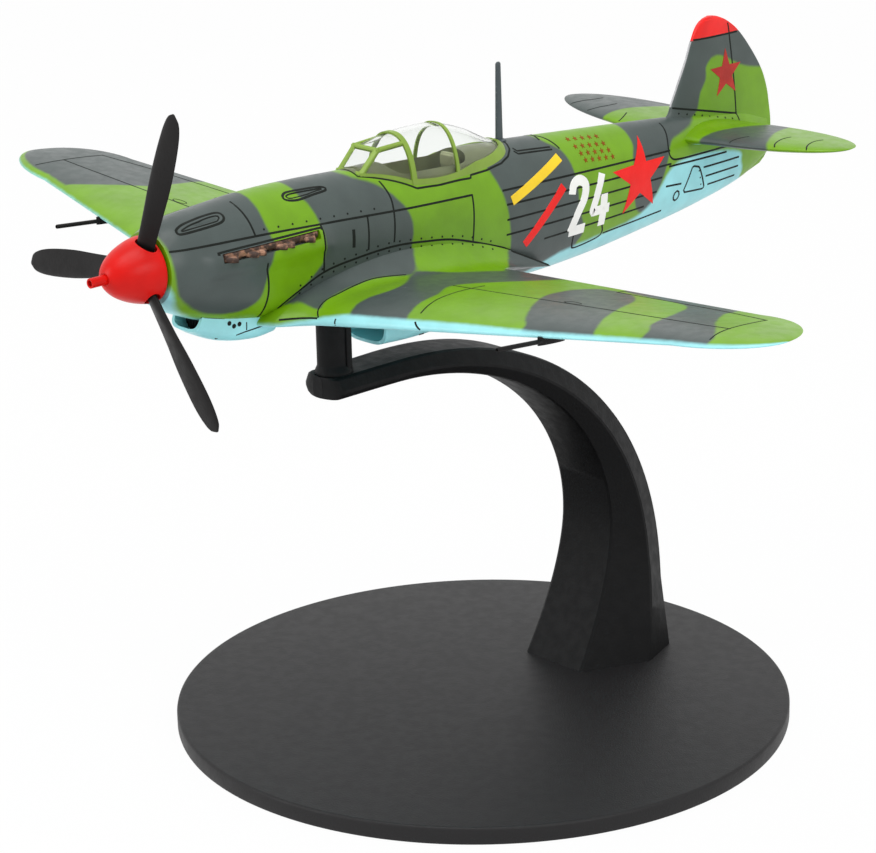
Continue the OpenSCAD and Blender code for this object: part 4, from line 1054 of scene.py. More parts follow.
def sheet_of(rows, cols, shape, thick):
    """An open sheet given a wall that grows inwards."""
    bm = wrapped(rows, cols, shape, closed=False)
    outward = Vector((0, 0, 0))
    for face in bm.faces:
        middle = face.calc_center_median()
        way = Vector((middle.x, 0, middle.z - 2))
        outward += way * face.normal.dot(way)
    if outward.dot(Vector((0, 0, 1))) < 0:
        bmesh.ops.reverse_faces(bm, faces=bm.faces)
    bmesh.ops.solidify(bm, geom=bm.faces[:], thickness=thick)
    return bm


print("glazing rules ready; pane foot at", round(PANE_FOOT, 2))

# %% Clear moulding
def hood_over(u, t, sink, grow=0.0):
    """The hood from sill to sill, sunk a little into the skin: t runs from port to starboard."""
    sill = reach(hood, u, 0.0, math.pi / 2, -sink)
    return hood(u, sill + (math.pi - 2 * sill) * t, grow)


def hood_glass(s, t):
    return hood_over(ARCH_U + s * (GLASS_END_U - ARCH_U), t, GLASS_SINK)


def screen_glass(s, t):
    sill = reach(screen, s, 0.0, 0.5, -GLASS_SINK)
    return screen(s, sill + (1 - 2 * sill) * t)


glass = joined([sheet_of(60, 56, hood_glass, GLASS_T), sheet_of(24, 50, screen_glass, GLASS_T),
                sheet_of(8, 12, pane, GLASS_T)])
made(glass, "canopy_clear", CLEAR, stands_for=("canopy_glass",), crease=28)

# %% Painted bars
SILL_RUN, SILL_RISE = (0, 0.42, 0.6, 0.8, 1), (0.5, 0.5, 0.85, 0.7, 0.32)


def bar_across(u0, width):
    def shape(s, t):
        return hood_over(u0 + (s - 0.5) * width, t, 0.1, FRAME_T)
    return sheet_of(4, 60, shape, FRAME_T + BAR_SINK)


def sill_bar(side, rows, cols, surface, place, limit, rise):
    """A bar that follows one sill of the glazing, from just inside the skin to a rise above it."""
    def shape(s, t):
        along = place(s)
        low, high = (reach(surface, along, 0.0, limit, height) for height in (-BAR_SINK, rise(s)))
        x, u, w = surface(along, low + (high - low) * t, FRAME_T)
        return side * x, u, w
    return sheet_of(rows, cols, shape, FRAME_T + BAR_SINK)


def hood_sill(side):
    return sill_bar(side, 60, 6, hood, lambda s: ARCH_U + s * (GLASS_END_U - ARCH_U), math.pi / 2,
                    lambda s: np.interp(s, SILL_RUN, SILL_RISE))


def screen_sill(side):
    return sill_bar(side, 24, 5, screen, lambda s: s, CORNER, lambda s: 0.3)


def strip(points, normals, width, rise, sink=0.12):
    """A flat bar with eased edges, laid along a line on a surface."""
    p, n = np.asarray(points, float), np.asarray(normals, float)
    n = n / np.linalg.norm(n, axis=1, keepdims=True)
    along = np.gradient(p, axis=0)
    side = np.cross(n, along)
    side /= np.linalg.norm(side, axis=1, keepdims=True)
    ease = min(0.25 * width, rise)
    half = [(width / 2, -sink), (width / 2, rise - ease), (width / 2 - ease, rise)]
    outline = np.array([(-a, b) for a, b in half] + half[::-1])

    def shape(s, t):
        i = np.rint(s * (len(p) - 1)).astype(int)
        k = np.rint(t * 6).astype(int) % 6
        o = outline[k]
        spots = p[i] + side[i] * o[:, :1] + n[i] * o[:, 1:]
        return spots[:, 0], spots[:, 1], spots[:, 2]
    return wrapped(len(p) - 1, 6, shape)


def straight_bar(a, b, normal, width, rise, sink):
    """A bar between two points, facing one way all along."""
    return strip([Vector(a).lerp(Vector(b), k / 7) for k in range(8)], [normal] * 8, width, rise, sink)


bars = [bar_across(ARCH_U, 0.78), bar_across(HOOD_END_U, 0.52)]
head_u, head_w = SCREEN_U + PANE_LEN, PANE_FOOT + PANE_RISE
for side in (-1, 1):
    foot = (side * PANE_HALF, SCREEN_U, PANE_FOOT - 0.3)
    head = (side * PANE_TOP_HALF, head_u, head_w)
    arch_spot = (side * (PANE_TOP_HALF + 0.2), ARCH_U, HOOD_H - 0.9)
    bars += [hood_sill(side), screen_sill(side),
             straight_bar(foot, head, (side * 0.55, -0.62, 0.55), 0.72, 0.16, 0.4),
             straight_bar(head, arch_spot, (side * 0.6, -0.2, 0.8), 0.6, 0.16, 0.35)]
bars += [straight_bar((2.3, head_u, head_w), (-2.3, head_u, head_w), (0, -0.5, 0.85), 0.66, 0.16, 0.35),
         straight_bar((2.0, SCREEN_U + 0.2, PANE_FOOT + 0.02), (-2.0, SCREEN_U + 0.2, PANE_FOOT + 0.02),
                      (0, -0.62, 0.78), 0.7, 0.17, 0.6)]
made(joined(bars), "canopy_bars", CANOPY_PAINT, stands_for=("canopy_frame",), crease=35)

# %% [markdown]
# ## Cockpit
# Under the glass lie a tub with rounded corners, a bucket seat with belts, a headrest, a panel with
# dials and a stick. They are small and mostly in shade, but a bare hole would show.

# %% Tub, seat, headrest, panel and stick
tub = block((-TUB_HALF - 0.02, TUB_FRONT - 0.02, FLOOR_W), (TUB_HALF + 0.02, TUB_BACK + 0.02, 1.2), 1.9,
            upright_edges, 6)
room = block((-TUB_HALF + 0.45, TUB_FRONT + 0.45, FLOOR_W + 0.5), (TUB_HALF - 0.45, TUB_BACK - 0.45, 9), 1.5,
             upright_edges, 6)
tub = carved(tub, room)
foot_w = FLOOR_W + 0.4
consoles = [side_block(side, 2.25, 2.95, (TUB_FRONT + 1.5, foot_w), (TUB_BACK - 3, -0.4), 0.12)
            for side in (-1, 1)]
ribs = [side_block(side, 2.54, 2.82, (u, foot_w), (u + 0.35, 1.1), 0.04)
        for side in (-1, 1) for u in (TUB_FRONT + 2 + 1.4 * k for k in range(7))]
# the lining's green is painted lighter than the real one, for the shade in the tub
made(joined([tub] + consoles + ribs), "cockpit_lining", LIGHTENED_COCKPIT_GREEN, stands_for=("cockpit_tub",))

SEAT_U = ARCH_U + 7.6 * 0.45
pan = carved(block((-1.9, SEAT_U, FLOOR_W + 0.5), (1.9, SEAT_U + 3.4, FLOOR_W + 2.1), 0.35),
             block((-1.55, SEAT_U - 1, FLOOR_W + 1.2), (1.55, SEAT_U + 3.1, FLOOR_W + 4), 0.3))
seat_back = block((-1.9, 0, 0), (1.9, 0.45, 3.5), 0.2)
lean = Matrix.Rotation(math.radians(-8), 4, "X")
seat_back.transform(Matrix.Translation((0, SEAT_U + 3, FLOOR_W + 1.7)) @ lean)
cushion = block((-1.45, SEAT_U + 0.2, FLOOR_W + 1.15), (1.45, SEAT_U + 3, FLOOR_W + 1.75), 0.25)
made(joined([pan, seat_back, cushion]), "bucket_seat", LEATHER, stands_for=("pilot_seat",))
belts = []
for side in (-1, 1):
    path = [(side * 0.75, SEAT_U + 2.8 + 0.45 * k / 6, FLOOR_W + 2 + 0.5 * k) for k in range(7)]
    belts.append(strip(path, [(0, -1, 0.1)] * 7, 0.42, 0.1, 0.05))
made(joined(belts), "seat_belts", YELLOW_MARK)

rest = block((-1.3, TUB_BACK - 1.25, FLOOR_W + 0.5), (1.3, TUB_BACK - 0.7, 5.0), 0.25)
pad = block((-1.15, TUB_BACK - 1.55, 3.3), (1.15, TUB_BACK - 1.1, 4.8), 0.22)
# painted lighter, like the lining, for the shade under the glazing
made(joined([rest, pad]), "padded_headrest", LIGHTENED_COCKPIT_GREEN, stands_for=("headrest",))

board = block((-2.5, TUB_FRONT + 0.7, -0.6), (2.5, TUB_FRONT + 1.2, 2.8), 0.2)
DIALS = [                            # place to port, height, radius
    (-1.6, 2.0, 0.42), (-0.55, 2.1, 0.42), (0.55, 2.1, 0.42), (1.6, 2.0, 0.42), (-1.3, 1.0, 0.36),
    (-0.4, 1.05, 0.36), (0.5, 1.05, 0.36), (1.4, 1.0, 0.36), (-0.9, 0.15, 0.3), (0.1, 0.15, 0.3),
    (1.0, 0.15, 0.3)]
dials = [peg(r, (x, TUB_FRONT + 1.15, w), (x, TUB_FRONT + 1.3, w), 20) for x, w, r in DIALS]
made(board, "dial_board", PANEL_BLACK, stands_for=("instrument_panel",))
made(joined(dials), "dials", WHITE_MARK)

stick_parts = []
for low, high, radius, sides, top_radius in ((0.5, 1.0, 0.5, 20, 0.35), (0.9, 3.6, 0.2, 16, 0.2),
                                             (3.2, 4.1, 0.34, 16, 0.28)):
    stick_parts.append(peg(radius, (0, SEAT_U - 1.7, FLOOR_W + low), (0, SEAT_U - 1.7, FLOOR_W + high),
                           sides, top_radius))
made(joined(stick_parts), "stick", PANEL_BLACK, stands_for=("control_stick",))

# %% [markdown]
# ## Exhaust stubs
# Six short pipes leave a slot on each side, bend aft and end in flattened, hollow mouths. They are
# painted brown and brushed with a lighter metal tone.

# %% Exhausts
STUB_PLACES = [0.55, 3.7, 4.85, 8.2, 9.35, 12.6]     # one, a pair, a pair, one
STUB_HEIGHT = 0.44                   # half the height of a stub's mouth
STUB_BEND, STUB_OUT, STUB_AFT = math.radians(62), 1.25, 2.4


def stub(side, u0):
    def shape(s, t):
        stage = np.array([(0, 1, 1), (0.5, 1, 1), (1, 1, 1), (1.4, 1.06, 1.02), (1.45, 1.0, 0.98),
                          (1.43, 0.74, 0.72), (1.1, 0.7, 0.66)])
        i = s * (len(stage) - 1)
        run = np.interp(i, np.arange(len(stage)), stage[:, 0])
        wide = np.interp(i, np.arange(len(stage)), stage[:, 1])
        bend = STUB_BEND * np.clip(run / 1.4, 0, 1)
        x = SLOT_X + 0.1 + STUB_OUT * np.sin(bend)
        u = u0 + STUB_AFT * (1 - np.cos(bend))
        angle = math.tau * t
        flat = 0.6 - 0.1 * np.clip(run / 1.4, 0, 1)
        across_pipe, up_pipe = flat * wide * np.cos(angle), STUB_HEIGHT * wide * np.sin(angle)
        return (side * (x - across_pipe * np.sin(bend)), u + across_pipe * np.cos(bend),
                SLOT_W + 0.06 - 0.1 * run + up_pipe)
    return wrapped(36, 28, shape)


for side, name in SIDES:
    bed = side_block(side, SLOT_X + 0.05, SLOT_X + 0.5, (SLOT_U + 0.15, SLOT_LOW),
                     (SLOT_U + SLOT_LEN - 0.15, SLOT_W + 0.7), 0.12)
    bar = side_block(side, SLOT_X + 0.1, SLOT_X + 0.95, (SLOT_U + 0.2, SLOT_W - 0.1),
                     (SLOT_U + SLOT_LEN - 0.2, SLOT_W + 0.66), 0.24)
    stubs = [stub(side, SLOT_U + run) for run in STUB_PLACES]
    made(joined([bed, bar] + stubs), f"exhaust_stubs_{name}", EXHAUST_BROWN, stands_for=(f"exhaust_{name}",),
         crease=50)

# %% [markdown]
# ## Ducts under the belly
# The oil cooler sits in a chin duct under the nose, the radiator in a deeper one behind the post.
# Both are boxes with rounded corners and open mouths.

# %% Oil cooler and radiator
def duct_section(half, roof, floor_w, t):
    angle = math.tau * t
    return (half * signed_power(np.cos(angle), 0.5),
            (roof + floor_w) / 2 + (roof - floor_w) / 2 * signed_power(np.sin(angle), 0.5))


COOLER_U, COOLER_LEN, COOLER_HALF, COOLER_ROOF, DUCT_WALL = 11.35, 12.0, 3.1, -4.5, 0.4
MOUTH_LEAN, RAD_ROOF, ROOF_FALL = 1.9, -9.8, 2.4
COOLER_FLOOR = [(0, 8.6), (0.12, 9.5), (0.3, 10.4), (0.55, 11.1), (0.8, 11.4), (1, 11.2)]
RAD_U, RAD_LEN, RAD_HALF, RAD_DEPTH = 40.5, 24.0, 3.9, 17.0
RAD_FLOOR = [(0, 0.985), (0.2, 1), (0.45, 0.995), (0.7, 0.945), (0.9, 0.86), (1, 0.8)]


def cooler(inset, start, end):
    def shape(s, t):
        run = start + (end - start) * s
        half = COOLER_HALF * (1 - 0.16 * (1 - run) ** 3) - inset
        floor_w = -smooth(COOLER_FLOOR, run, 1) + inset
        x, w = duct_section(half, COOLER_ROOF, floor_w, t)
        # the mouth leans aft towards its top
        lean = MOUTH_LEAN * np.clip(1 - run / 0.25, 0, 1) * (w - floor_w) / (COOLER_ROOF - floor_w)
        return x, COOLER_U + run * COOLER_LEN + lean, w
    return wrapped(40, 72, shape)


def radiator(inset, start, end):
    def shape(s, t):
        run = start + (end - start) * s
        half = RAD_HALF * (1 - 0.25 * np.maximum(0, run) ** 3) - inset
        roof = RAD_ROOF - ROOF_FALL * np.maximum(0, run) ** 2
        x, w = duct_section(half, roof, -RAD_DEPTH * smooth(RAD_FLOOR, run, 1) + inset, t)
        return x, RAD_U + run * RAD_LEN, w
    return wrapped(50, 72, shape)


chin = carved(carved(cooler(0, 0, 1), cooler(DUCT_WALL, -0.05, 0.3)), cooler(DUCT_WALL, 0.85, 1.05))
chin_tree = BVHTree.FromBMesh(chin)
made(chin, "chin_duct", UNDERSIDE, stands_for=("oil_cooler",), crease=45)
deep = carved(carved(radiator(0, 0, 1), radiator(DUCT_WALL, -0.05, 0.3)), radiator(DUCT_WALL, 0.9, 1.05))
made(deep, "belly_duct", UNDERSIDE, stands_for=("belly_radiator",), crease=45)
FIN_GAP, FIN_T = 0.3, 0.1
fins = [block((x, COOLER_U + 2.4, -9.4), (x + FIN_T, COOLER_U + 3.4, -7.6))
        for x in (-COOLER_HALF + 0.7 + FIN_GAP * k for k in range(16))]
fins.append(block((-2.4, COOLER_U + 2.9, -9.9), (2.4, COOLER_U + 3.3, -6)))
cores = [block((x, RAD_U + 6.2, -RAD_DEPTH + 0.4), (x + FIN_T, RAD_U + 7, -11))
         for x in (-RAD_HALF + 0.5 + FIN_GAP * k for k in range(23))]
made(joined(fins + cores), "radiator_cores", PANEL_BLACK)

# %% [markdown]
# ## Mast and pitot tubes
# A tapered aerial mast stands behind the glazing, and a thin tube with a faired bracket hangs under
# each wing and points forward.

# %% Mast and pitots
MAST_U, MAST_L, MAST_H = GLASS_END_U + 0.8, 1.2, 10.2
mast_foot = float(crown(MAST_U))


def mast_surface(s, t):
    climb = np.interp(s, (0, 0.9, 1), (-0.3, MAST_H - 0.25, MAST_H + 0.05))
    taper = 1 - 0.3 * np.clip(climb / MAST_H, 0, 1)
    chord = MAST_L * taper * np.interp(s, (0, 0.9, 0.95, 1), (1, 1, 0.9, 0.5))
    angle = math.tau * t
    return 0.3 * chord * np.sin(angle), MAST_U + 0.5 * chord * np.cos(angle), mast_foot + climb


collar = turned([(0, 0), (0.95, 0), (0.9, 0.12), (0.6, 0.2), (0, 0.2)], 40)
upended = Matrix.Rotation(math.radians(90), 4, "X")
collar.transform(Matrix.Translation((0, MAST_U, mast_foot - 0.02)) @ upended)
bmesh.ops.recalc_face_normals(collar, faces=collar.faces)
made(joined([wrapped(40, 28, mast_surface), collar]), "aerial_mast", MAST_GREY, stands_for=("antenna_mast",))

PITOT_X, PITOT_LEN, PITOT_R = 40.5, 7.6, 0.28
MOUTH_U = 0.6 - PITOT_LEN
pitot_u = float(wing_lead(np.array(PITOT_X)))
pitot_w = CHORD_W + PITOT_X * math.tan(DIHEDRAL) - 0.55


def pitot_bracket(s, t):
    """A faired lug that climbs round the leading edge and tapers aft under the wing."""
    share, face = around_section(t)
    height = np.interp(s, (0, 1), (0.6, -0.42)) - np.interp(s, (0, 1), (0.35, 0.3)) * share ** 1.5
    return face * 0.42 * np.sqrt(share * (1 - share)) * 2, -0.45 + share * 4.4, height


for side, name in SIDES:
    tube = turned([(0, MOUTH_U + 0.3), (0.17, MOUTH_U + 0.3), (0.17, MOUTH_U), (0.24, MOUTH_U),
                   (PITOT_R, MOUTH_U + 0.1), (PITOT_R, 0.2), (0.2, 0.9), (0, 1.0)], 28)
    tube.transform(Matrix.Rotation(math.radians(-5), 4, "X"))
    probe = joined([tube, wrapped(10, 32, pitot_bracket)])
    bmesh.ops.translate(probe, vec=(side * PITOT_X, pitot_u, pitot_w), verts=probe.verts)
    made(probe, f"pitot_tube_{name}", BLADE_BLACK, stands_for=(f"pitot_{name}",))

# %% [markdown]
# ## Panel lines, rivets and markings
# Panel lines are thin inked strips, a few hundredths of a millimetre proud of the paint. A line is
# drawn on the side view or the plan and dropped straight onto the skin, where it takes the skin's
# slope. Markings are thin sheets laid on in the same way: plain stars, a plain number and slanted
# bars.

# %% Laying lines and sheets on the skins
HULL_TREES = (body_tree, wing_tree, fin_tree)
MARK_RISE, MARK_SINK = 0.045, 0.03   # how far markings stand above the paint and reach into it
STEP_AWAY = 1.2                      # a drop this far from the last one lies on another skin
SIDE_START, TOP_START, FRONT_START = 20, 30, -10     # drops start here, clear of every skin they meet


def from_side(side):
    return HULL_TREES, lambda u, w: ((side * SIDE_START, u, w), (-side, 0, 0))


def from_above(side, trees):
    return trees, lambda x, u: ((side * x, u, TOP_START), (0, 0, -1))


def from_front(side, trees):
    return trees, lambda x, w: ((side * x, FRONT_START, w), (0, 1, 0))


def landing(drop, a, b):
    """Where a straight drop first meets a skin, and the skin's outward normal there."""
    trees, aim = drop
    start, way = (Vector(v) for v in aim(a, b))
    hits = [hit for hit in (tree.ray_cast(start, way) for tree in trees) if hit[0] is not None]
    if not hits:
        return None
    spot, normal = min(hits, key=lambda hit: hit[3])[:2]
    return spot, -normal if normal.dot(way) > 0 else normal


def evenly(points, closed=False, rounded=True, step=0.4):
    """Spots at even steps along a line through a few points."""
    line = curve_through(points, closed, 8) if rounded else np.asarray(points, float)
    if closed:
        line = np.vstack([line, line[:1]])
    run = np.concatenate([[0], np.cumsum(np.hypot(*np.diff(line, axis=0).T))])
    spots = np.linspace(0, run[-1], max(3, int(run[-1] / step) + 1))
    return np.column_stack([np.interp(spots, run, line[:, k]) for k in (0, 1)])


def inked(points, drop, width=0.28, rise=0.03, **shape):
    """Strips along a line laid on the skin; it breaks where the skin ends or steps away."""
    runs, run = [], []
    for a, b in evenly(points, **shape):
        hit = landing(drop, a, b)
        if hit is None or (run and (hit[0] - run[-1][0]).length > STEP_AWAY):
            runs.append(run)
            run = []
        if hit is not None:
            run.append(hit)
    runs.append(run)
    parts = []
    for run in runs:
        if len(run) > 2:
            normals = np.array([n for _, n in run])
            normals[1:-1] = (normals[:-2] + 2 * normals[1:-1] + normals[2:]) / 4
            parts.append(strip([p for p, _ in run], normals, width, rise))
    return parts


def drawn(lines, drop, **shape):
    """Several inked lines with one pen."""
    return [part for line in lines for part in inked(line, drop, **shape)]


def rivets(points, drop, gap, radius=0.14):
    """A row of small round heads along a line."""
    heads = []
    for a, b in evenly(points, step=gap):
        hit = landing(drop, a, b)
        if hit:
            heads.append(peg(radius, hit[0] - hit[1] * 0.05, hit[0] + hit[1] * 0.03, 10))
    return heads


def sheet(outline, drop, cell=0.8):
    """A thin sheet laid on the skin: a fan of triangles from its middle, cut into small cells."""
    bm = bmesh.new()
    middle = bm.verts.new((0, *np.mean(outline, axis=0)))
    corners = [bm.verts.new((0, a, b)) for a, b in outline]
    for here, following in zip(corners, corners[1:] + corners[:1]):
        bm.faces.new((middle, here, following))
    for column, axis in ((0, (0, 1, 0)), (1, (0, 0, 1))):
        low, high = min(p[column] for p in outline), max(p[column] for p in outline)
        for place in np.arange(low + cell / 2, high, cell):
            bmesh.ops.bisect_plane(bm, geom=bm.verts[:] + bm.edges[:] + bm.faces[:],
                                   plane_co=Vector(axis) * place, plane_no=axis)
    normals = {}
    for vert in bm.verts:
        spot, normal = landing(drop, vert.co.y, vert.co.z)
        vert.co = spot - normal * MARK_SINK
        normals[vert.co.to_tuple(5)] = normal
    top = bmesh.ops.extrude_face_region(bm, geom=bm.faces[:], use_keep_orig=True)["geom"]
    for vert in top:
        if isinstance(vert, bmesh.types.BMVert):
            vert.co += normals[vert.co.to_tuple(5)] * (MARK_SINK + MARK_RISE)
    bmesh.ops.recalc_face_normals(bm, faces=bm.faces)
    return bm


def star(u, w, reach):
    """The outline of a plain five-pointed star."""
    corners = []
    for k in range(10):
        r, a = reach * (1 if k % 2 == 0 else 0.4), math.radians(90 + 36 * k)
        corners.append((u + r * math.cos(a), w + r * math.sin(a)))
    return corners


print("laying tools ready")

# %% Panel lines of the body and fin, and a painted shadow line along each exhaust slot
BODY_INK = [
    [(6.9, 2.6), (18.8, 2.3), (29, 1.8), (42.5, 1.0), (54.5, 0.5)],
    [(18.3, 6.0), (18.7, 4.3), (18.9, 2.3)],
    [(19.8, -1), (20.3, -4.6), (20.2, -8.3)],
    [(28.9, 1.8), (28.9, -4.0)],
    [(36.6, 1.3), (36.2, -2.8)],
    [(40.6, 4.6), (41.1, 2.8), (41, 1), (40.5, -2.7)],
    [(54.6, 0.6), (54.3, -5.4)],
    [(12.1, -6.75), (15.9, -7.7), (18.4, -8.4), (20.4, -9.0)],
    [(21.8, -8.0), (24.1, -6.2), (28.8, -4.1), (34.6, -3.4), (40.6, -3.2), (46, -3.7), (51.3, -4.6),
     (59.2, -7.2), (62, -8.5), (68.4, -11.6)],
    [(94, 3), (94.3, 1.5), (93.7, -1), (94.2, -2.3), (96, -2.7), (101, -2.9), (107, -3.1)],
    [(98, 3.5), (104, 2.2), (111, 0.6)],
    [(109.6, 13.5), (110.4, 7), (111, 0.6), (111.2, -4)],
    [(102.3, 12.2), (111.6, 12.0)]]
STRINGERS = [((60, 0.0), (94, -1.2)), ((60.5, -1.9), (94, -3.0)), ((60.5, -3.9), (92, -4.5)),
             ((60.5, -5.9), (91, -6.3)), ((68, -8.0), (88.5, -7.9)), ((80.5, -10), (93, -9.5)),
             ((93.5, -3.3), (107, -3.9)), ((101.5, -5), (110.3, -5.3)), ((93, -6), (96.5, -6.3)),
             ((102.2, -6.4), (110.3, -6.6)), ((103, -7.8), (109.8, -7.9))]
HATCHES = [
    [(98.8, -4.5), (99.2, -4.35), (100.4, -4.7), (100.7, -5.1), (102.2, -7.9), (102, -8.2), (97.6, -7.8),
     (97.3, -7.4)],
    [(95.1, -7.9), (95.3, -7.4), (95.75, -7.2), (96.2, -7.4), (96.4, -7.9), (96.2, -8.4), (95.75, -8.6),
     (95.3, -8.4)]]
OPEN_HATCH = [(74, -8.8), (74.3, -10.4), (75.2, -10.9), (79.4, -10.4), (80.2, -9.6), (79.4, -8)]
SILL_LINE = [(0, 38.0), (2.1, 38.1), (4.5, 45.8), (4.55, 49.6), (4.45, 53.4), (4.45, 55.2), (4.25, 55.4),
             (4.1, 58.4), (3.75, 61.4), (3.2, 63.2), (2.4, 64.3), (1.3, 64.8), (0, 64.9)]
SPINE_INK = [[(2.3, 64.9), (2.75, 65.3), (2.8, 71.3)], [(2.7, 64.7), (3.1, 65.1), (3.1, 71.4)],
             [(-1.6, 70.6), (0, 70.9), (1.2, 71.7), (2.05, 72.2), (3.1, 72.8)]]
COOLER_INK = [[(17.1, -9.95), (18.3, -9.8), (23.1, -9.5)], [(18.6, -8.6), (18.6, -9.6)]]
# a dark line along the top edge of each exhaust slot: painted shadow, drawn in the panel ink
SLOT_TOP_SHADOW = [(13.1, 1.3), (14, 1.5), (27.6, 1.5), (28.6, 1.35)]
ROOT_RIVETS = [(25.2, -5.5), (28.8, -4.1), (34.6, -3.4), (40.6, -3.2), (51.3, -4.6), (57.6, -6.6)]

for side, name in FLANKS:
    drop = from_side(side)
    on_chin = ((chin_tree,), drop[1])
    parts = drawn(BODY_INK, drop) + drawn(STRINGERS, drop, rounded=False)
    parts += drawn(HATCHES, drop, closed=True, rounded=False, step=0.25)
    parts += inked(OPEN_HATCH, drop, step=0.25)
    parts += drawn([SILL_LINE] + SPINE_INK, from_above(side, (body_tree,)), rounded=False, step=0.3)
    parts += drawn(COOLER_INK, on_chin, width=0.18, rounded=False)
    parts += rivets([(16.0, -8.2), (16.7, -8.7), (17.5, -8.6)], on_chin, 0.6, 0.3)
    # painted shadow along the top edge of the exhaust slot
    parts += inked(SLOT_TOP_SHADOW, drop, width=0.3, step=0.3)
    for outline, rim in ((TROUGH_FRONT, RIM_FRONT), (TROUGH_REAR, RIM_REAR)):
        parts += inked(outline, drop, width=0.22, closed=True, step=0.25)
        parts += inked(rim, drop, width=0.34, closed=True, step=0.25)
    parts += inked([(34, 0.2), (33.8, -2)], drop, width=0.5, rounded=False)
    parts += rivets([(20.4, 2.8), (29, 2.4), (38, 1.9)], drop, 2.0)
    for offset in (0.5, -0.5):
        parts += rivets([(u, w + offset) for u, w in ROOT_RIVETS], drop, 1.8)
    parts += rivets([(100.5, -5.3), (101.3, -7.4)], drop, 2.2, 0.12)
    parts += rivets([(99, 2.6), (104, 1.5), (109.6, 0.2)], drop, 1.5)
    made(joined(parts), f"panel_lines_and_shadow_{name}", INK_AND_SHADOW, crease=25)

# %% Panel lines of wing and tailplanes
WING_INK = [
    [(17, 39.6), (40, 40.0), (60.5, 40.0)],
    [(61.2, 35.8), (60.6, 38), (60.3, 41), (60.2, 46.7)],
    [(60.3, 46.5), (50, 48.6), (34, 50.3)],
    [(34, 50.3), (33.6, 53.6)],
    [(22.6, 28.8), (21, 33), (20.2, 38), (20, 42)],
    [(9.7, 24.2), (8.9, 24.9), (8.3, 26.6), (8.3, 29), (8.1, 31.9), (8, 34.6), (8.3, 37.4), (8.6, 39.7)]]
LEADING_INK = [[(5.8, -8.4), (7.8, -8.2), (9.6, -8.05)], [(12.2, -7.75), (12.3, -8.5)],
               [(23.2, -6.5), (24.3, -7.2)]]
WING_OVAL = (36.0, 40.6)
TAIL_INK = [
    [(10.2, 98.2), (10.1, 98.9), (10.5, 100), (11.2, 101.3)],
    [(17.3, 99.3), (16.5, 100.4), (15.9, 102.6), (15.9, 104.4)],
    [(21.5, 100.8), (20.8, 101.9), (20.1, 104.1), (20.1, 106)]]
for side, name in FLANKS:
    wing_drop = from_above(side, (wing_tree,))
    parts = drawn(WING_INK, wing_drop, width=0.2)
    ring = [(WING_OVAL[0] + 1.3 * math.cos(a), WING_OVAL[1] + 0.5 * math.sin(a))
            for a in np.linspace(0, math.tau, 13)[:-1]]
    parts += inked(ring, wing_drop, width=0.14, closed=True, step=0.25)
    parts += drawn(LEADING_INK, from_front(side, (wing_tree,)), width=0.24, step=0.2)
    parts += drawn(TAIL_INK, from_above(side, (tail_trees[side],)), width=0.2, step=0.3)
    made(joined(parts), f"wing_lines_{name}", INK_AND_SHADOW, crease=25)

# %% Stars, number and bars
NUMBER_U = 76.6                      # the middle of the number
NUMBER = [                           # each stroke's line, its width, and whether it is rounded
    ([(73.0, -3.0), (73.4, -1.8), (74.6, -1.4), (75.7, -2.2), (75.5, -3.9), (74.2, -6.0), (73.1, -8.2)],
     1.4, True),
    ([(72.9, -8.2), (76.0, -8.2)], 1.4, False),
    ([(79.2, -1.4), (77.2, -6.3), (80.7, -6.3)], 1.3, False),
    ([(79.6, -4.2), (79.5, -8.6)], 1.4, False)]


def stroke(points, drop, width, rounded=False):
    return inked(points, drop, width, MARK_RISE, step=0.3, rounded=rounded)


for side, name in FLANKS:
    drop = from_side(side)
    badge = star(87.2, -3.4, 5.6)
    badge[0], badge[2] = (88.3, 1.75), (81.4, -1.7)     # two points lean with the curve of the flank
    red = [sheet(badge, drop)]
    made(sheet(star(108.8, 6.6, 3.5), drop, cell=0.6), f"fin_star_{name}", WORN_RED, crease=25)
    red += stroke([(71.4, -1.6), (64.2, -8.0)], drop, 1.3)
    made(joined(red), f"red_markings_{name}", RED_MARK, crease=25)
    small = []
    for row in range(4):
        for column in range(5):
            u = 75.4 + 1.35 * column + 0.4 * row
            w = 3.5 - 0.85 * row - 0.1 * (u - 75)
            # a star on the sloping deck is drawn lower, so that it is regular on the skin
            flatter = abs(landing(drop, u, w)[1].x)
            outline = [(a, w + (b - w) * flatter) for a, b in star(u, w, 0.46)]
            small.append(sheet(outline, drop, cell=2))
    made(joined(small), f"small_stars_{name}", SMALL_STAR, crease=25)
    white = []
    for line, width, rounded in NUMBER:
        if side < 0:                     # turned about its middle, so that it reads from aft forwards
            line = [(2 * NUMBER_U - u, w) for u, w in line]
        white += stroke(line, drop, width, rounded)
    made(joined(white), f"number_{name}", WHITE_MARK, crease=25)
    yellow = stroke([(71.9, 2.0), (61.5, -1.6)], drop, 1.3)
    made(joined(yellow), f"yellow_bars_{name}", YELLOW_MARK, crease=25)

# %% Painted highlight along the fin's leading edge, laid as a thin pale metal strip
# the real leading edge is painted like the fin; this pale strip stands for the highlight it catches
highlight_line, highlight_normals = [], []
for climb in np.linspace(0.24, 0.8, 24):
    highlight_line.append((0, STERN_U + float(smooth(FIN_LINES, climb, 1)) + 0.02, climb * FIN_H))
    highlight_normals.append((0, -1, 0.25))
made(strip(highlight_line, highlight_normals, 0.28, 0.05, 0.1), "fin_edge_highlight", STEEL_AND_EDGE_HIGHLIGHT, crease=25)

# %% [markdown]
# ## Floor, lamps and sky
# The model stands on a plain pale floor under broad soft lamps, as in a tent of white cloth. The
# floor and the sky look white to the eye, to gloss and to glass, and light the model at a plain
# level.

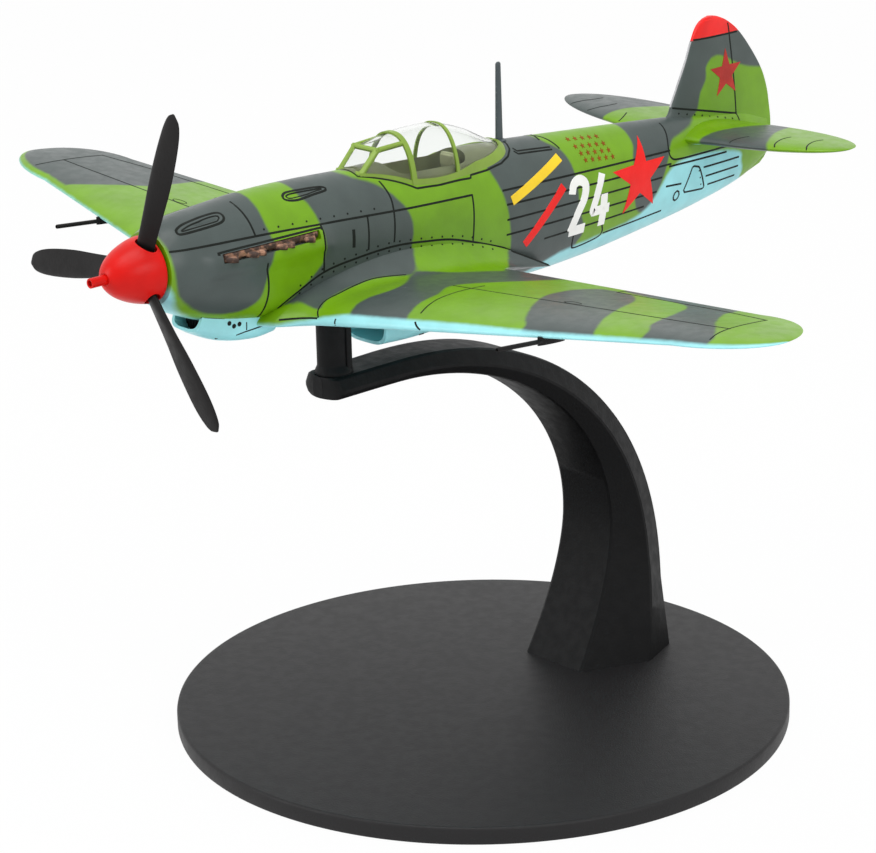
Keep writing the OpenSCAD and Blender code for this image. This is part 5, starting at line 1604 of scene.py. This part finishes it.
# %% Floor and sky
def bright_ray(graph):
    """1 where the eye, a reflection or clear material looks at this, 0 where it only gives light."""
    path = graph.add("LightPath")
    seen = path.outputs["Is Camera Ray"]
    for kind in ("Is Glossy Ray", "Is Transmission Ray"):
        seen = graph.math("MAXIMUM", seen, path.outputs[kind])
    return seen


floor_bm = bmesh.new()
bmesh.ops.create_grid(floor_bm, x_segments=1, y_segments=1, size=3)
floor_mesh = bpy.data.meshes.new("floor")
floor_bm.to_mesh(floor_mesh)
floor_bm.free()
floor = bpy.data.objects.new("floor", floor_mesh)
bpy.context.scene.collection.objects.link(floor)
floor.location.z = -0.00002
pale = Finish("pale_floor")
floor_mesh.materials.append(pale.set(Base_Color=(0.82, 0.82, 0.82, 1), Roughness=0.9, Specular_IOR_Level=0.0))
glow_share = pale.math("MULTIPLY", bright_ray(pale), 0.97)
blend = pale.add("MixShader", {0: glow_share, 1: pale.shader.outputs[0], 2: pale.add("Emission").outputs[0]})
pale.feed(pale.tree.nodes["Material Output"].inputs["Surface"], blend.outputs[0])

world = bpy.data.worlds.new("tent")
bpy.context.scene.world = world
world.use_nodes = True
sky = Graph(world.node_tree)
level_of_sky = sky.add("MapRange", {"Value": bright_ray(sky), "To Min": 0.55, "To Max": 1.0}).outputs[0]
sky.feed(sky.tree.nodes["Background"].inputs["Strength"], level_of_sky)
sky.feed(sky.tree.nodes["Background"].inputs["Color"], (1, 1, 1, 1))
print("floor and sky ready")

# %% Soft lamps
def soft_lamp(name, place, aim, size, power):
    lamp = bpy.data.lights.new(name, "AREA")
    lamp.shape = "DISK"
    lamp.size = size
    lamp.energy = power
    lamp_object = bpy.data.objects.new(name, lamp)
    bpy.context.scene.collection.objects.link(lamp_object)
    facing = (Vector(place) - Vector(aim)).to_track_quat("Z", "Y").to_matrix().to_4x4()
    lamp_object.matrix_world = Matrix.Translation(place) @ facing


soft_lamp("overhead_lamp", (0.1, -0.15, 0.75), (0, 0, 0.07), 0.6, 3.2)
soft_lamp("bow_lamp", (-0.35, -0.75, 0.35), (0, 0, 0.07), 0.4, 1.8)
soft_lamp("port_lamp", (0.8, -0.1, 0.4), (0, 0, 0.07), 0.4, 1.6)
print("lamps ready")
